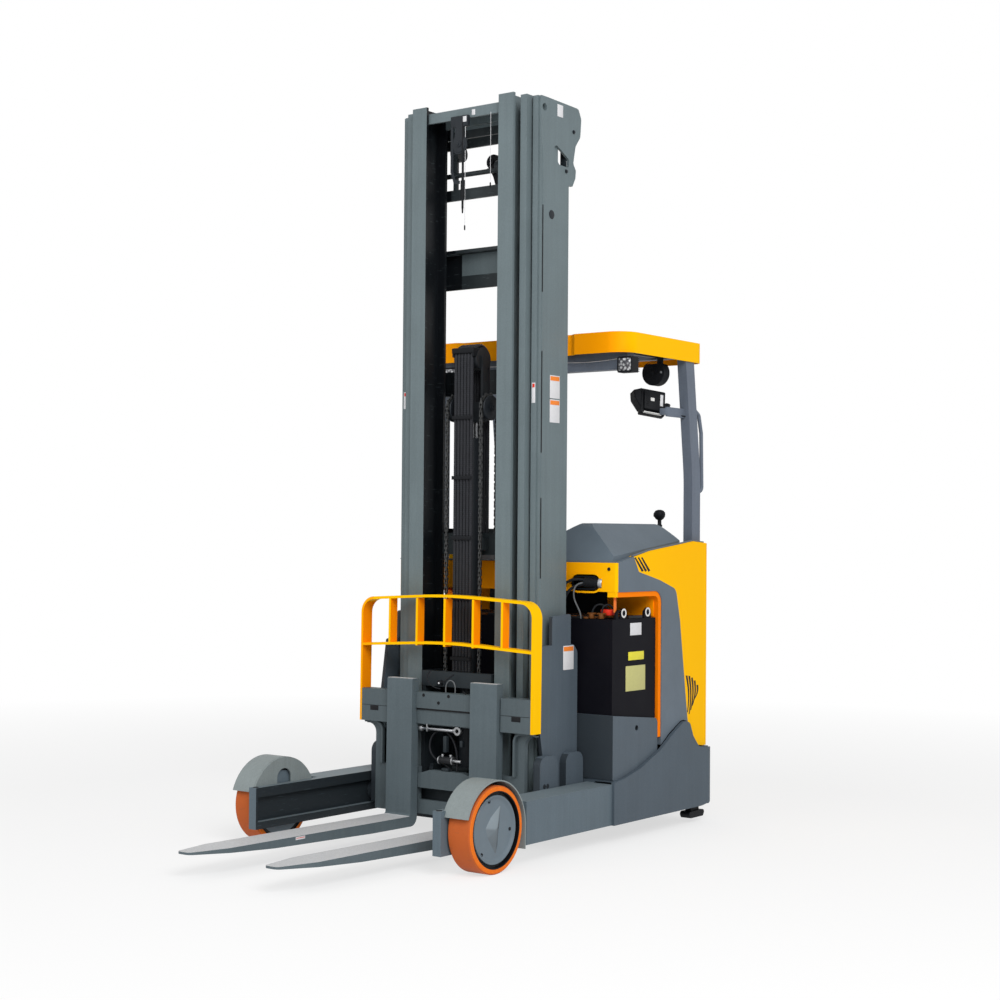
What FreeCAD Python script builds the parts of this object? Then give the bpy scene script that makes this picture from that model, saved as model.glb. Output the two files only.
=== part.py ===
"""Reach truck: a straddle-leg warehouse truck with a three-stage mast that slides between its legs.

Units are millimetres.  +Z is up, the forks point to -Y and +X is the operator's left-hand side.
All lengths below are measured from the load wheels' axle (y = 0), the centre plane (x = 0) and the
floor (z = 0).  The finished pieces are moved along Y so that the origin is under the middle of the
whole truck.  The mast is laid out from the forks backwards and from the legs inwards, and the body
is laid out behind the mast, so a change in one group moves the groups behind it.
"""
import FreeCAD, Part
import math
import os

V = FreeCAD.Vector
ALONG_X = V(1, 0, 0)
ALONG_Y = V(0, 1, 0)
ALONG_Z = V(0, 0, 1)

# ---------------------------------------------------------------- clearances
RUN_GAP = 0.05          # radial gap of a shaft that turns or slides in its bore
SEAT_GAP = 0.3          # gap under a roller or bearing that rests on its track
MOVE_GAP = 8.0          # least air between pieces that move past each other
TRACK_PLAY = 0.5        # half the play of a leg roller between its flanges

# ---------------------------------------------------------------- load wheels and fenders
load_wheel_radius = 170.0
load_wheel_width = 108.0
load_tyre_depth = 25.0
load_tyre_chamfer = 6.0
load_cap_margin = 37.0
load_rim_thickness = 20.0
load_sleeve_radius = 48.0
load_axle_radius = 25.0
load_wheel_side_gap = 6.0
fender_air = 16.0
fender_sheet = 5.0
fender_wall = 8.0
fender_front_rise = 60.0
fender_rear_drop = 97.0
fender_hole_radius = 42.0
fender_hole_cover = 48.0

# ---------------------------------------------------------------- chassis and straddle legs, crosswise
chassis_half_width = 618.0
chassis_side_plate = 16.0
chassis_plate = 12.0
leg_inset = 12.0
leg_box_width = 100.0
leg_wall = 8.0
channel_depth = 40.0
channel_web = 12.0
channel_top_flange = 40.0
channel_bottom_flange = 30.0
leg_stop = 12.0
body_inset = 18.0

# ---------------------------------------------------------------- chassis and straddle legs, heights
leg_top_z = 253.0
leg_bottom_z = 82.0
leg_front_y = -200.0
leg_box_start = 23.0
chassis_bottom_z = 81.0
battery_floor_rise = 17.0
sweep_rise = 210.0
cab_floor_z = 345.0
chassis_corner_radius = 60.0
rear_overhang = 36.0
riser_x = -40.0
foot_inset = 66.0
foot_length = 152.0
foot_width = 50.0
foot_bottom_z = 22.0

# ---------------------------------------------------------------- drive unit
drive_x = -250.0
drive_back_from_cab = 215.0
drive_wheel_radius = 171.5
drive_wheel_width = 134.0
drive_rim_radius = 120.0
drive_axle_radius = 30.0
drive_neck_radius = 100.0
drive_disc_radius = 150.0
drive_disc_thickness = 22.0
drive_flange_radius = 140.0
drive_flange_thickness = 14.0
drive_housing_width = 56.0
turntable_rise = 73.0
turntable_thickness = 16.0
motor_radius = 95.0
motor_height = 270.0
motor_cap_height = 25.0

# ---------------------------------------------------------------- battery and its tray
battery_length = 346.0
battery_height = 662.0
battery_side_gap = 12.0
tray_sheet = 8.0
tray_floor = 13.0
tray_front_rise = 270.0
tray_rear_rise = 235.0
tray_hole_radius = 12.0
lift_eye_radius = 13.0
lift_eye_height = 40.0
lift_eye_sheet = 9.0
lift_eye_inset = 62.0

# ---------------------------------------------------------------- body panels
panel_thickness = 28.0
panel_corner_radius = 24.0
rear_sheet = 20.0
cowl_height = 124.0
cowl_depth = 12.0
hose_slot_x = (238.0, 78.0)
hose_slot_z = (16.0, 58.0)
opening_above_battery = 117.0
opening_behind_cab_front = 16.0
opening_corner = 55.0
surround_width = 22.0
deck_sheet = 10.0
hump_height = 170.0
hump_width = 170.0
blade_rise = 84.0
cab_depth = 425.0

# ---------------------------------------------------------------- operator's place
seat_base_clearance = 14.0
seat_base_sheet = 6.0
cushion_height = 105.0
seat_back_height = 550.0
seat_back_inset = 130.0
console_width = 200.0
steer_from_console = 90.0
steer_y_from_rear = 100.0
steer_rise = 165.0
steer_rim_radius = 90.0
steer_rim_bar = 10.0
steer_hub_radius = 30.0
steer_knob_radius = 17.0
steer_knob_deg = 55.0

# ---------------------------------------------------------------- overhead guard
guard_side_inset = 33.0
guard_length = 663.0
guard_top_z = 2191.0
guard_band = 91.0
guard_sheet = 6.0
guard_front_corner = 95.0
guard_rear_corner = 45.0
guard_recess = 22.0
guard_margin = 70.0
guard_bar_count = 7
guard_bar_width = 26.0
frame_drop = 69.0
post_width = 46.0
post_depth = 72.0
post_side_inset = 40.0
post_foot_from_rear = 83.0
post_lean = 72.0
front_post_setback = 63.0
front_post_depth = 55.0
front_post_width = 50.0
front_post_left_x = 150.0
front_post_inset = 20.0
handle_radius = 9.0
handle_bend = 22.0
lamp_width = 76.0
lamp_height = 68.0
lamp_drop = 113.0
fan_radius = 58.0
fan_depth = 50.0

# ---------------------------------------------------------------- mast, crosswise (from the legs inwards)
roller_housing_depth = 33.0
reach_plate = 16.0
mast_spacer = 33.0
mast_plate = 12.0
outer_rail_face = 26.0
outer_stage_gap = 12.0
middle_rail_face = 33.0
inner_stage_gap = 17.0
inner_rail_face = 79.0
rail_hook = 44.0
rail_web = 12.0

# ---------------------------------------------------------------- mast, lengthwise (from the forks back)
fork_front_y = 423.0
fork_thickness = 44.0
hook_gap = 11.0
fork_plate = 22.0
tilt_pivot_back = 20.0
carriage_bar_back = 10.0
inner_rail_back = 11.0
rail_depth = 149.0
rail_flange = 14.0
mast_stagger = 28.0
mast_plate_setback = 9.0
mast_plate_behind = 66.0
mast_ear_length = 93.0
tray_behind_reach = 12.0
reach_behind_mast = 18.0

# ---------------------------------------------------------------- mast, heights
inner_mast_bottom_z = 95.0
middle_mast_bottom_z = 85.0
outer_mast_bottom_z = 75.0
inner_mast_top_z = 3178.0
mast_top_step = 10.0
outer_top_step = 15.0
mast_foot_z = 60.0
outer_beam_depth = 12.0
outer_beams = ((758.0, 588.0), (1238.0, 1128.0), (1923.0, 1833.0))      # below the mast's top
outer_ties = ((325.0, 385.0), (925.0, 985.0), (-1463.0, -1403.0),       # above its foot, or below its top
              (-863.0, -803.0), (-463.0, -403.0))
stage_overlap = 713.0
mast_roller_z = 190.0
lift_barrel_radius = 24.0
lift_rod_radius = 16.0
lift_gland = 40.0
lift_rod_shown = 32.0
lift_arm_drop = 106.0

# ---------------------------------------------------------------- free hoses and cables
sleeve_radius = 20.0
sleeve_length = 76.0
sleeve_start = (515.0, 878.0, 1098.0)
sleeve_direction = (-0.96, -0.26, 0.05)
hose_ledge_z = 915.0
hose_ledge_depth = 30.0
cowl_hose_diameter = 13.0
cowl_hose_upper_route = ((442, 858, 1111), (405, 851, 1116), (368, 845, 1108), (336, 840, 1080),
                         (322, 835, 1035), (318, 831, 985), (318, 829, 940), (318, 829, 915))
cowl_hose_lower_route = ((442, 858, 1093), (406, 852, 1090), (374, 846, 1072), (352, 840, 1040),
                         (342, 835, 1000), (338, 831, 960), (338, 829, 930), (338, 829, 915))
cowl_cable_diameter = 7.0
cowl_cable_route = ((444.6, 848.4, 1100), (424, 843, 1098), (407, 839, 1086), (398, 838, 1067),
                    (396, 840, 1045), (398, 846, 1022), (403, 856, 1001), (409, 865, 981),
                    (413, 870, 962), (414, 871, 945))
carriage_wire_diameter = 5.0
carriage_wire_route = ((-25, 489, 625), (-27, 489, 645), (-21, 489, 667), (-2, 489, 681), (18, 489, 672),
                       (27, 489, 650), (25, 489, 625))
carriage_hose_diameter = 9.0
carriage_hose_route = ((42, 488, 292), (42, 490, 330), (38, 491, 372), (26, 490, 412), (3, 489, 445),
                       (-29, 488, 464), (-63, 487, 462), (-92, 486, 440), (-107, 485, 406),
                       (-103, 484, 370), (-80, 484, 343), (-46, 485, 328), (-14, 487, 318), (14, 488, 282))

# ---------------------------------------------------------------- free lift
free_cylinder_back = 87.0
free_barrel_radius = 44.0
free_rod_radius = 27.0
free_foot_z = 300.0
free_head_room = 98.0
free_guide_length = 470.0
chain_x = 92.0
chain_wheel_rise = 130.0
chain_wheel_radius = 46.0
chain_wheel_width = 28.0
chain_band = 16.0
hose_wheel_rise = 214.0
hose_wheel_radius = 50.0
mast_hose_radius = 8.0
mast_hose_x = (-42.0, -14.0, 14.0, 42.0)
inner_tie_drop = (1963.0, 1868.0)

# ---------------------------------------------------------------- reach carriage
reach_stroke = 600.0
reach_top_z = 838.0
reach_tower_rise = 130.0
reach_bottom_z = 105.0
housing_top_z = 385.0
housing_half = 64.0
reach_barrel_radius = 30.0
reach_rod_radius = 17.5
reach_cylinder_z = 160.0
reach_rod_seat = 90.0

# ---------------------------------------------------------------- fork carriage, forks and load backrest
fork_tilt_deg = 0.6
tilt_pivot_z = 250.0
tilt_pin_radius = 10.0
pivot_ear_x = (120.0, 140.0)
carriage_bar = 28.0
carriage_plate = 17.0
carriage_plate_gap = 8.0
carriage_roller_z = (215.0, 640.0)
carriage_roller_width = 28.0
fork_centre_x = 227.0
fork_width = 140.0
fork_tip_thickness = 9.0
fork_heel_top_z = 92.0
fork_length = 1250.0
shank_top_z = 681.0
carriage_top_rise = 31.0
bar_end_gap = 9.0
bar_front_inset = 17.0
bar_top_z = 625.0
bar_split_z = 553.0
bar_bottom_z = 484.0
fork_leg_x = (53.0, 104.0)
backrest_top_z = 1024.0
backrest_mid_z = 812.0
backrest_strip = 11.0
backrest_depth = 60.0
backrest_bar_depth = 45.0
backrest_arch = 25.0
backrest_arch_radius = 3000.0
backrest_bar_count = 5

# ================================================================ derived places, crosswise
leg_outer_x = chassis_half_width - leg_inset
channel_outer_x = leg_outer_x - leg_box_width
channel_inner_x = channel_outer_x - channel_depth
channel_web_x = channel_outer_x - channel_web
wheel_inner_x = channel_outer_x + load_wheel_side_gap
overall_half_width = wheel_inner_x + load_wheel_width
fender_inner_x = channel_outer_x + 1.0
body_half_width = chassis_half_width - body_inset
panel_inner_x = body_half_width - panel_thickness
bay_half_width = panel_inner_x - 4.0
tray_half_width = body_half_width
battery_half_width = tray_half_width - battery_side_gap
console_inner_x = body_half_width - console_width
steer_x = console_inner_x - steer_from_console
hump_inner_x = console_inner_x - hump_width
guard_half_width = body_half_width - guard_side_inset
front_beam_half = guard_half_width - 32.0
front_post_right_x = -(front_beam_half - front_post_inset)
rear_post_x = body_half_width - post_side_inset
rear_post_inner_x = rear_post_x - post_width
seat_back_x = -(body_half_width - seat_back_inset)
seat_front_x = riser_x + 20.0
foot_x = chassis_half_width - foot_inset
roller_housing_x = channel_inner_x - MOVE_GAP
reach_plate_outer_x = roller_housing_x - roller_housing_depth
reach_plate_x = reach_plate_outer_x - reach_plate
mast_plate_outer_x = reach_plate_x - mast_spacer
outer_rail_outer_x = mast_plate_outer_x - mast_plate
outer_rail_x = outer_rail_outer_x - outer_rail_face
middle_rail_outer_x = outer_rail_x - outer_stage_gap
middle_rail_x = middle_rail_outer_x - middle_rail_face
inner_rail_outer_x = middle_rail_x - inner_stage_gap
inner_rail_x = inner_rail_outer_x - inner_rail_face
inner_web_x = inner_rail_outer_x - rail_hook
middle_web_x = middle_rail_outer_x - rail_web
outer_web_x = outer_rail_outer_x - rail_web
lift_cylinder_x = middle_rail_outer_x - 13.0
carriage_plate_x = inner_rail_x - carriage_plate_gap
bar_half_width = channel_inner_x - bar_end_gap

# ================================================================ derived places, lengthwise
hook_y = fork_front_y + fork_thickness
bar_front_y = fork_front_y + bar_front_inset
plate_front_y = hook_y + hook_gap
plate_rear_y = plate_front_y + fork_plate
tilt_pivot_y = plate_rear_y + tilt_pivot_back
carriage_bar_y = tilt_pivot_y + carriage_bar_back
inner_rail_front_y = carriage_bar_y + inner_rail_back
middle_rail_front_y = inner_rail_front_y + mast_stagger
outer_rail_front_y = middle_rail_front_y + mast_stagger
outer_rail_rear_y = outer_rail_front_y + rail_depth
mast_plate_front_y = outer_rail_front_y + mast_plate_setback
mast_plate_rear_y = outer_rail_rear_y + mast_plate_behind
lift_cylinder_y = outer_rail_rear_y + 3.0 + lift_barrel_radius
free_cylinder_y = inner_rail_front_y + free_cylinder_back
rail_roller_radius = rail_depth / 2 - rail_flange - SEAT_GAP
reach_rear_y = mast_plate_rear_y + reach_behind_mast
tray_front_y = reach_rear_y + tray_behind_reach
chassis_side_front_y = tray_front_y - 12.0
chassis_front_y = tray_front_y + 6.0
leg_rear_y = chassis_side_front_y + 15.0
battery_front_y = tray_front_y + 10.0
battery_rear_y = battery_front_y + battery_length
tray_rear_y = battery_rear_y + 2.0
cowl_front_y = tray_front_y + 24.0
body_front_y = cowl_front_y + cowl_depth
cab_front_y = tray_rear_y + 15.0
cab_rear_y = cab_front_y + cab_depth
panel_rear_y = cab_rear_y
panel_back_y = panel_rear_y - rear_sheet
chassis_rear_y = cab_rear_y + rear_overhang
opening_rear_y = cab_front_y + opening_behind_cab_front
drive_y = cab_front_y + drive_back_from_cab
steer_y = panel_rear_y - steer_y_from_rear
foot_rear_y = chassis_rear_y - 16.0
foot_front_y = foot_rear_y - foot_length
guard_rear_y = panel_rear_y
guard_front_y = guard_rear_y - guard_length
front_post_y = guard_front_y + front_post_setback
rear_post_foot_y = panel_rear_y - post_foot_from_rear
rear_post_head_y = rear_post_foot_y - post_lean
fork_tip_y = fork_front_y - fork_length

# ================================================================ derived places, heights
channel_top_z = leg_top_z - channel_top_flange
channel_floor_z = leg_bottom_z + channel_bottom_flange
reach_roller_radius = (channel_top_z - channel_floor_z) / 2 - TRACK_PLAY
reach_roller_z = channel_floor_z + SEAT_GAP + reach_roller_radius
fender_radius = load_wheel_radius + fender_air + fender_sheet
load_cap_radius = load_wheel_radius - load_cap_margin
leg_box_front_y = fender_radius + leg_box_start
battery_floor_z = leg_top_z + battery_floor_rise
battery_top_z = battery_floor_z + tray_floor + battery_height
lift_eye_top_z = battery_top_z + lift_eye_height
tray_front_top_z = battery_floor_z + tray_front_rise
tray_rear_top_z = battery_floor_z + tray_rear_rise
sweep_top_z = battery_floor_z + sweep_rise
opening_top_z = battery_top_z + opening_above_battery
cowl_bottom_z = opening_top_z + 1.0
cowl_top_z = cowl_bottom_z + cowl_height
hump_top_z = cowl_top_z + hump_height
panel_rear_top_z = cowl_top_z + blade_rise
turntable_z = 2 * drive_wheel_radius + turntable_rise
motor_foot_z = turntable_z + SEAT_GAP + drive_flange_thickness
seat_base_top_z = motor_foot_z + motor_height + motor_cap_height + seat_base_clearance + seat_base_sheet
seat_top_z = seat_base_top_z + cushion_height
seat_back_top_z = seat_base_top_z + seat_back_height
steer_z = cowl_top_z + steer_rise
guard_under_z = guard_top_z - guard_band
middle_mast_top_z = inner_mast_top_z - mast_top_step
outer_mast_top_z = inner_mast_top_z - outer_top_step
lift_arm_z = middle_mast_top_z - lift_arm_drop
lift_barrel_top_z = lift_arm_z - lift_rod_shown - lift_gland
mast_stroke = outer_mast_top_z - stage_overlap
carriage_top_z = shank_top_z + carriage_top_rise
free_head_height = chain_wheel_rise + hose_wheel_rise + hose_wheel_radius + 2 * mast_hose_radius
free_barrel_length = (inner_mast_top_z - free_head_room - free_foot_z - free_head_height
                      + free_guide_length) / 2
free_barrel_top_z = free_foot_z + free_barrel_length
free_stroke = 2 * (free_barrel_length - free_guide_length)
chain_wheel_z = free_barrel_top_z + chain_wheel_rise
hose_wheel_z = chain_wheel_z + hose_wheel_rise
inner_tie_z = (inner_mast_top_z - inner_tie_drop[0], inner_mast_top_z - inner_tie_drop[1])
reach_barrel_length = reach_stroke + reach_rod_seat


# ================================================================ small helpers
def block(x, y, z):
    """Box between three pairs of limits."""
    return Part.makeBox(x[1] - x[0], y[1] - y[0], z[1] - z[0], V(x[0], y[0], z[0]))


def bar(start, axis, radius, length):
    """Round bar that starts at a point and runs along an axis."""
    return Part.makeCylinder(radius, length, V(*start), axis)


def ring(start, axis, outer, inner, length):
    """Round tube that starts at a point and runs along an axis."""
    return bar(start, axis, outer, length).cut(bar(start, axis, inner, length))


def union(shapes):
    """One solid from overlapping or touching shapes, with split faces merged where that stays sound."""
    whole = shapes[0]
    for shape in shapes[1:]:
        whole = whole.fuse(shape)
    merged = whole.copy().removeSplitter()
    if merged.isValid() and abs(merged.Volume - whole.Volume) < 1.0:
        return merged
    return whole


def mirrored(shape):
    """The same shape on the other side of the centre plane."""
    return shape.mirror(V(0, 0, 0), ALONG_X)


def both_sides(shape):
    """Two copies, left and right, as one shape."""
    return [shape, mirrored(shape)]


def outline(points, place):
    """Closed face through 2-D points (a, b) or (a, b, radius); place turns (a, b) into a vector."""
    count = len(points)
    edges = []
    first = None
    last = None
    for index in range(count):
        point = points[index]
        here = V(point[0], point[1], 0)
        radius = point[2] if len(point) > 2 else 0.0
        if radius > 0:
            before = V(points[index - 1][0], points[index - 1][1], 0)
            after = V(points[(index + 1) % count][0], points[(index + 1) % count][1], 0)
            to_before = (before - here).normalize()
            to_after = (after - here).normalize()
            half = to_before.getAngle(to_after) / 2
            reach = radius / math.tan(half)
            start = here + to_before * reach
            end = here + to_after * reach
            middle_way = (to_before + to_after).normalize()
            middle = here + middle_way * (radius / math.sin(half) - radius)
        else:
            start = here
            end = here
            middle = None
        if last is None:
            first = start
        elif (start - last).Length > 1e-6:
            edges.append(Part.makeLine(place(last.x, last.y), place(start.x, start.y)))
        if middle is not None:
            arc = Part.Arc(place(start.x, start.y), place(middle.x, middle.y), place(end.x, end.y))
            edges.append(arc.toShape())
        last = end
    if (first - last).Length > 1e-6:
        edges.append(Part.makeLine(place(last.x, last.y), place(first.x, first.y)))
    return Part.Face(Part.Wire(edges))


def side_shape(points, x):
    """Outline given as (y, z), extruded between two x limits."""
    face = outline(points, lambda y, z: V(x[0], y, z))
    return face.extrude(V(x[1] - x[0], 0, 0))


def front_shape(points, y):
    """Outline given as (x, z), extruded between two y limits."""
    face = outline(points, lambda a, z: V(a, y[0], z))
    return face.extrude(V(0, y[1] - y[0], 0))


def plan_shape(points, z):
    """Outline given as (x, y), extruded between two z limits."""
    face = outline(points, lambda a, b: V(a, b, z[0]))
    return face.extrude(V(0, 0, z[1] - z[0]))


def trim(shape, point, normal):
    """Cuts away everything on the normal's side of a plane."""
    size = 6000.0
    cutter = Part.makeBox(size, size, size, V(-size / 2, -size / 2, 0))
    turn = FreeCAD.Rotation(ALONG_Z, V(*normal))
    cutter.Placement = FreeCAD.Placement(V(*point), turn)
    return shape.cut(cutter)


def tube_path(points, radius, bend):
    """Round bar along straight runs joined by arcs of one bend radius."""
    edges = []
    last = V(*points[0])
    for index in range(1, len(points) - 1):
        here = V(*points[index])
        to_before = (V(*points[index - 1]) - here).normalize()
        to_after = (V(*points[index + 1]) - here).normalize()
        half = to_before.getAngle(to_after) / 2
        start = here + to_before * (bend / math.tan(half))
        end = here + to_after * (bend / math.tan(half))
        middle_way = (to_before + to_after).normalize()
        middle = here + middle_way * (bend / math.sin(half) - bend)
        edges.append(Part.makeLine(last, start))
        edges.append(Part.Arc(start, middle, end).toShape())
        last = end
    edges.append(Part.makeLine(last, V(*points[-1])))
    path = Part.Wire(edges)
    direction = V(*points[1]) - V(*points[0])
    profile = Part.Wire([Part.makeCircle(radius, V(*points[0]), direction)])
    return path.makePipeShell([profile], True, False)


def cord_tube(points, diameter):
    """Round cord along straight runs joined by tangent arcs, each as large as its two runs allow."""
    edges = []
    last = V(*points[0])
    length = 0.0
    radii = []
    for index in range(1, len(points) - 1):
        here = V(*points[index])
        before = V(*points[index - 1]) - here
        after = V(*points[index + 1]) - here
        half_turn = (math.pi - before.getAngle(after)) / 2
        reach = 0.45 * min(before.Length, after.Length)
        radius = reach / math.tan(half_turn)
        to_before = before.normalize()
        to_after = after.normalize()
        start = here + to_before * reach
        end = here + to_after * reach
        middle_way = (to_before + to_after).normalize()
        middle = here + middle_way * (radius / math.cos(half_turn) - radius)
        edges.append(Part.makeLine(last, start))
        edges.append(Part.Arc(start, middle, end).toShape())
        length += (start - last).Length + radius * 2 * half_turn
        radii.append(radius)
        last = end
    edges.append(Part.makeLine(last, V(*points[-1])))
    length += (V(*points[-1]) - last).Length
    direction = V(*points[1]) - V(*points[0])
    profile = Part.Wire([Part.makeCircle(diameter / 2, V(*points[0]), direction)])
    tube = Part.Wire(edges).makePipeShell([profile], True, False)
    section = math.pi * diameter ** 2 / 4
    print("cord", round(length), "mm, least radius", round(min(radii)), "mm, volume against section times length",
          round(tube.Volume / (section * length), 4))
    return tube


def tilted(shape):
    """The fork frame's resting tilt: tips up, about the tilt pivot."""
    copy = shape.copy()
    copy.rotate(V(0, tilt_pivot_y, tilt_pivot_z), ALONG_X, -fork_tilt_deg)
    return copy


def tilted_point(y, z):
    """Where a point of the fork frame lies once the frame has its resting tilt."""
    angle = math.radians(-fork_tilt_deg)
    away_y = y - tilt_pivot_y
    away_z = z - tilt_pivot_z
    turned_y = tilt_pivot_y + away_y * math.cos(angle) - away_z * math.sin(angle)
    turned_z = tilt_pivot_z + away_y * math.sin(angle) + away_z * math.cos(angle)
    return turned_y, turned_z


# ================================================================ middle of the whole truck
tip_front_y = min(tilted_point(fork_tip_y, fork_heel_top_z)[0],
                  tilted_point(fork_tip_y, fork_heel_top_z - fork_tip_thickness)[0])
middle_y = (tip_front_y + chassis_rear_y) / 2


def save(name, shapes):
    """Moves a piece to the truck's own frame and writes it."""
    solids = []
    for shape in shapes:
        solids.extend(shape.Solids)
    moved = Part.makeCompound(solids) if len(solids) > 1 else solids[0].copy()
    moved.translate(V(0, -middle_y, 0))
    moved.exportStep(os.path.join("parts", name + ".step"))
    print(name, len(solids), round(moved.Volume / 1e6, 2), "litres", moved.isValid())


# ================================================================ load wheels
def load_wheel_hub():
    """Left load wheel's hub: rim, sleeve on the axle and the round cap that closes the outer face."""
    inner = wheel_inner_x
    rim_radius = load_wheel_radius - load_tyre_depth
    rim = ring((inner + 4, 0, load_wheel_radius), ALONG_X, rim_radius, rim_radius - load_rim_thickness,
               load_wheel_width - 8)
    cap = bar((inner + load_wheel_width - 16, 0, load_wheel_radius), ALONG_X, load_cap_radius, 12)
    web = bar((inner + load_wheel_width - 30, 0, load_wheel_radius), ALONG_X, rim_radius - 5, 14)
    sleeve = ring((inner + 8, 0, load_wheel_radius), ALONG_X, load_sleeve_radius,
                  load_axle_radius + RUN_GAP, load_wheel_width - 24)
    bore = bar((inner, 0, load_wheel_radius), ALONG_X, load_axle_radius + RUN_GAP, load_wheel_width - 24)
    return union([rim, cap, web, sleeve]).cut(bore)


def load_wheel_tyre():
    """Left load wheel's tyre, with both shoulders chamfered."""
    inner = wheel_inner_x
    tyre = ring((inner, 0, load_wheel_radius), ALONG_X, load_wheel_radius,
                load_wheel_radius - load_tyre_depth, load_wheel_width)
    shoulders = []
    for edge in tyre.Edges:
        if abs(edge.Length - 2 * math.pi * load_wheel_radius) < 0.1:
            shoulders.append(edge)
    return tyre.makeChamfer(load_tyre_chamfer, shoulders)


def fender():
    """Left fender: a curved sheet over the wheel and an inner side wall that stands on the leg."""
    centre_z = load_wheel_radius
    inner_radius = fender_radius - fender_sheet
    sheet_x = fender_inner_x
    front_z = centre_z + fender_front_rise
    rear_z = centre_z - fender_rear_drop
    front_drop = fender_front_rise
    outer_front = -math.sqrt(fender_radius ** 2 - front_drop ** 2)
    inner_front = -math.sqrt(inner_radius ** 2 - front_drop ** 2)
    outer_arc = Part.Arc(V(sheet_x, outer_front, front_z), V(sheet_x, 0, centre_z + fender_radius),
                         V(sheet_x, fender_radius, centre_z))
    inner_arc = Part.Arc(V(sheet_x, inner_radius, centre_z), V(sheet_x, 0, centre_z + inner_radius),
                         V(sheet_x, inner_front, front_z))
    corners = [V(sheet_x, fender_radius, centre_z), V(sheet_x, fender_radius, rear_z),
               V(sheet_x, inner_radius, rear_z), V(sheet_x, inner_radius, centre_z)]
    edges = [outer_arc.toShape()]
    for index in range(3):
        edges.append(Part.makeLine(corners[index], corners[index + 1]))
    edges.append(inner_arc.toShape())
    edges.append(Part.makeLine(V(sheet_x, inner_front, front_z),
                               V(sheet_x, outer_front, front_z)))
    sheet = Part.Face(Part.Wire(edges)).extrude(V(overall_half_width - sheet_x, 0, 0))
    wall = bar((sheet_x - fender_wall, 0, centre_z), ALONG_X, fender_radius - 1, fender_wall)
    below = block((sheet_x - 20, sheet_x + 20), (-fender_radius - 50, fender_radius + 50), (-200, leg_top_z))
    hole_top = centre_z + fender_radius - fender_hole_cover
    arch = side_shape([(-fender_hole_radius, leg_top_z - 20), (fender_hole_radius, leg_top_z - 20),
                       (fender_hole_radius, hole_top, fender_hole_radius - 2),
                       (-fender_hole_radius, hole_top, fender_hole_radius - 2)],
                      (sheet_x - 20, sheet_x + 20))
    return union([sheet, wall.cut(below).cut(arch)])


def straddle_leg():
    """Left straddle leg: roller channel open to the inside, box behind the wheel and the wheel's axle."""
    section = [(channel_inner_x, leg_bottom_z), (channel_outer_x, leg_bottom_z),
               (channel_outer_x, leg_top_z), (channel_inner_x, leg_top_z),
               (channel_inner_x, channel_top_z), (channel_web_x, channel_top_z),
               (channel_web_x, channel_floor_z), (channel_inner_x, channel_floor_z)]
    channel = front_shape(section, (leg_front_y, leg_rear_y))
    end_stop = block((channel_inner_x, channel_outer_x), (leg_front_y, leg_front_y + leg_stop),
                     (leg_bottom_z, leg_top_z))
    box = block((channel_outer_x, leg_outer_x), (leg_box_front_y, chassis_side_front_y),
                (leg_bottom_z, leg_top_z))
    inside = block((channel_outer_x, leg_outer_x - leg_wall),
                   (leg_box_front_y + leg_wall, chassis_side_front_y - leg_wall),
                   (leg_bottom_z - leg_wall, leg_top_z - leg_wall))
    axle = bar((channel_web_x, 0, load_wheel_radius), ALONG_X, load_axle_radius,
               wheel_inner_x + load_wheel_width - 32 - channel_web_x)
    boss = bar((channel_outer_x, 0, load_wheel_radius), ALONG_X, load_sleeve_radius - 4,
               load_wheel_side_gap)
    return union([channel, end_stop, box.cut(inside), axle, boss])


# ================================================================ chassis
def chassis_side_outline():
    """Side view of the lower body: a low step that sweeps up behind the battery and falls again."""
    front = chassis_side_front_y
    return [(front, chassis_bottom_z), (front, leg_top_z + 8), (front + 81, battery_floor_z + 2),
            (front + 200, battery_floor_z + 30, 300), (cab_front_y - 13, sweep_top_z - 114, 200),
            (cab_front_y + 85, sweep_top_z - 55, 150), (cab_front_y + 193, sweep_top_z, 60),
            (cab_front_y + 237, sweep_top_z - 16, 25), (cab_front_y + 265, sweep_top_z - 75, 25),
            (cab_rear_y - 110, cab_floor_z + 7, 60), (cab_rear_y - 50, cab_floor_z - 1, 60),
            (chassis_rear_y, cab_floor_z - 7, 12), (chassis_rear_y, chassis_bottom_z + 14, 25),
            (chassis_rear_y - 116, chassis_bottom_z)]


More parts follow.
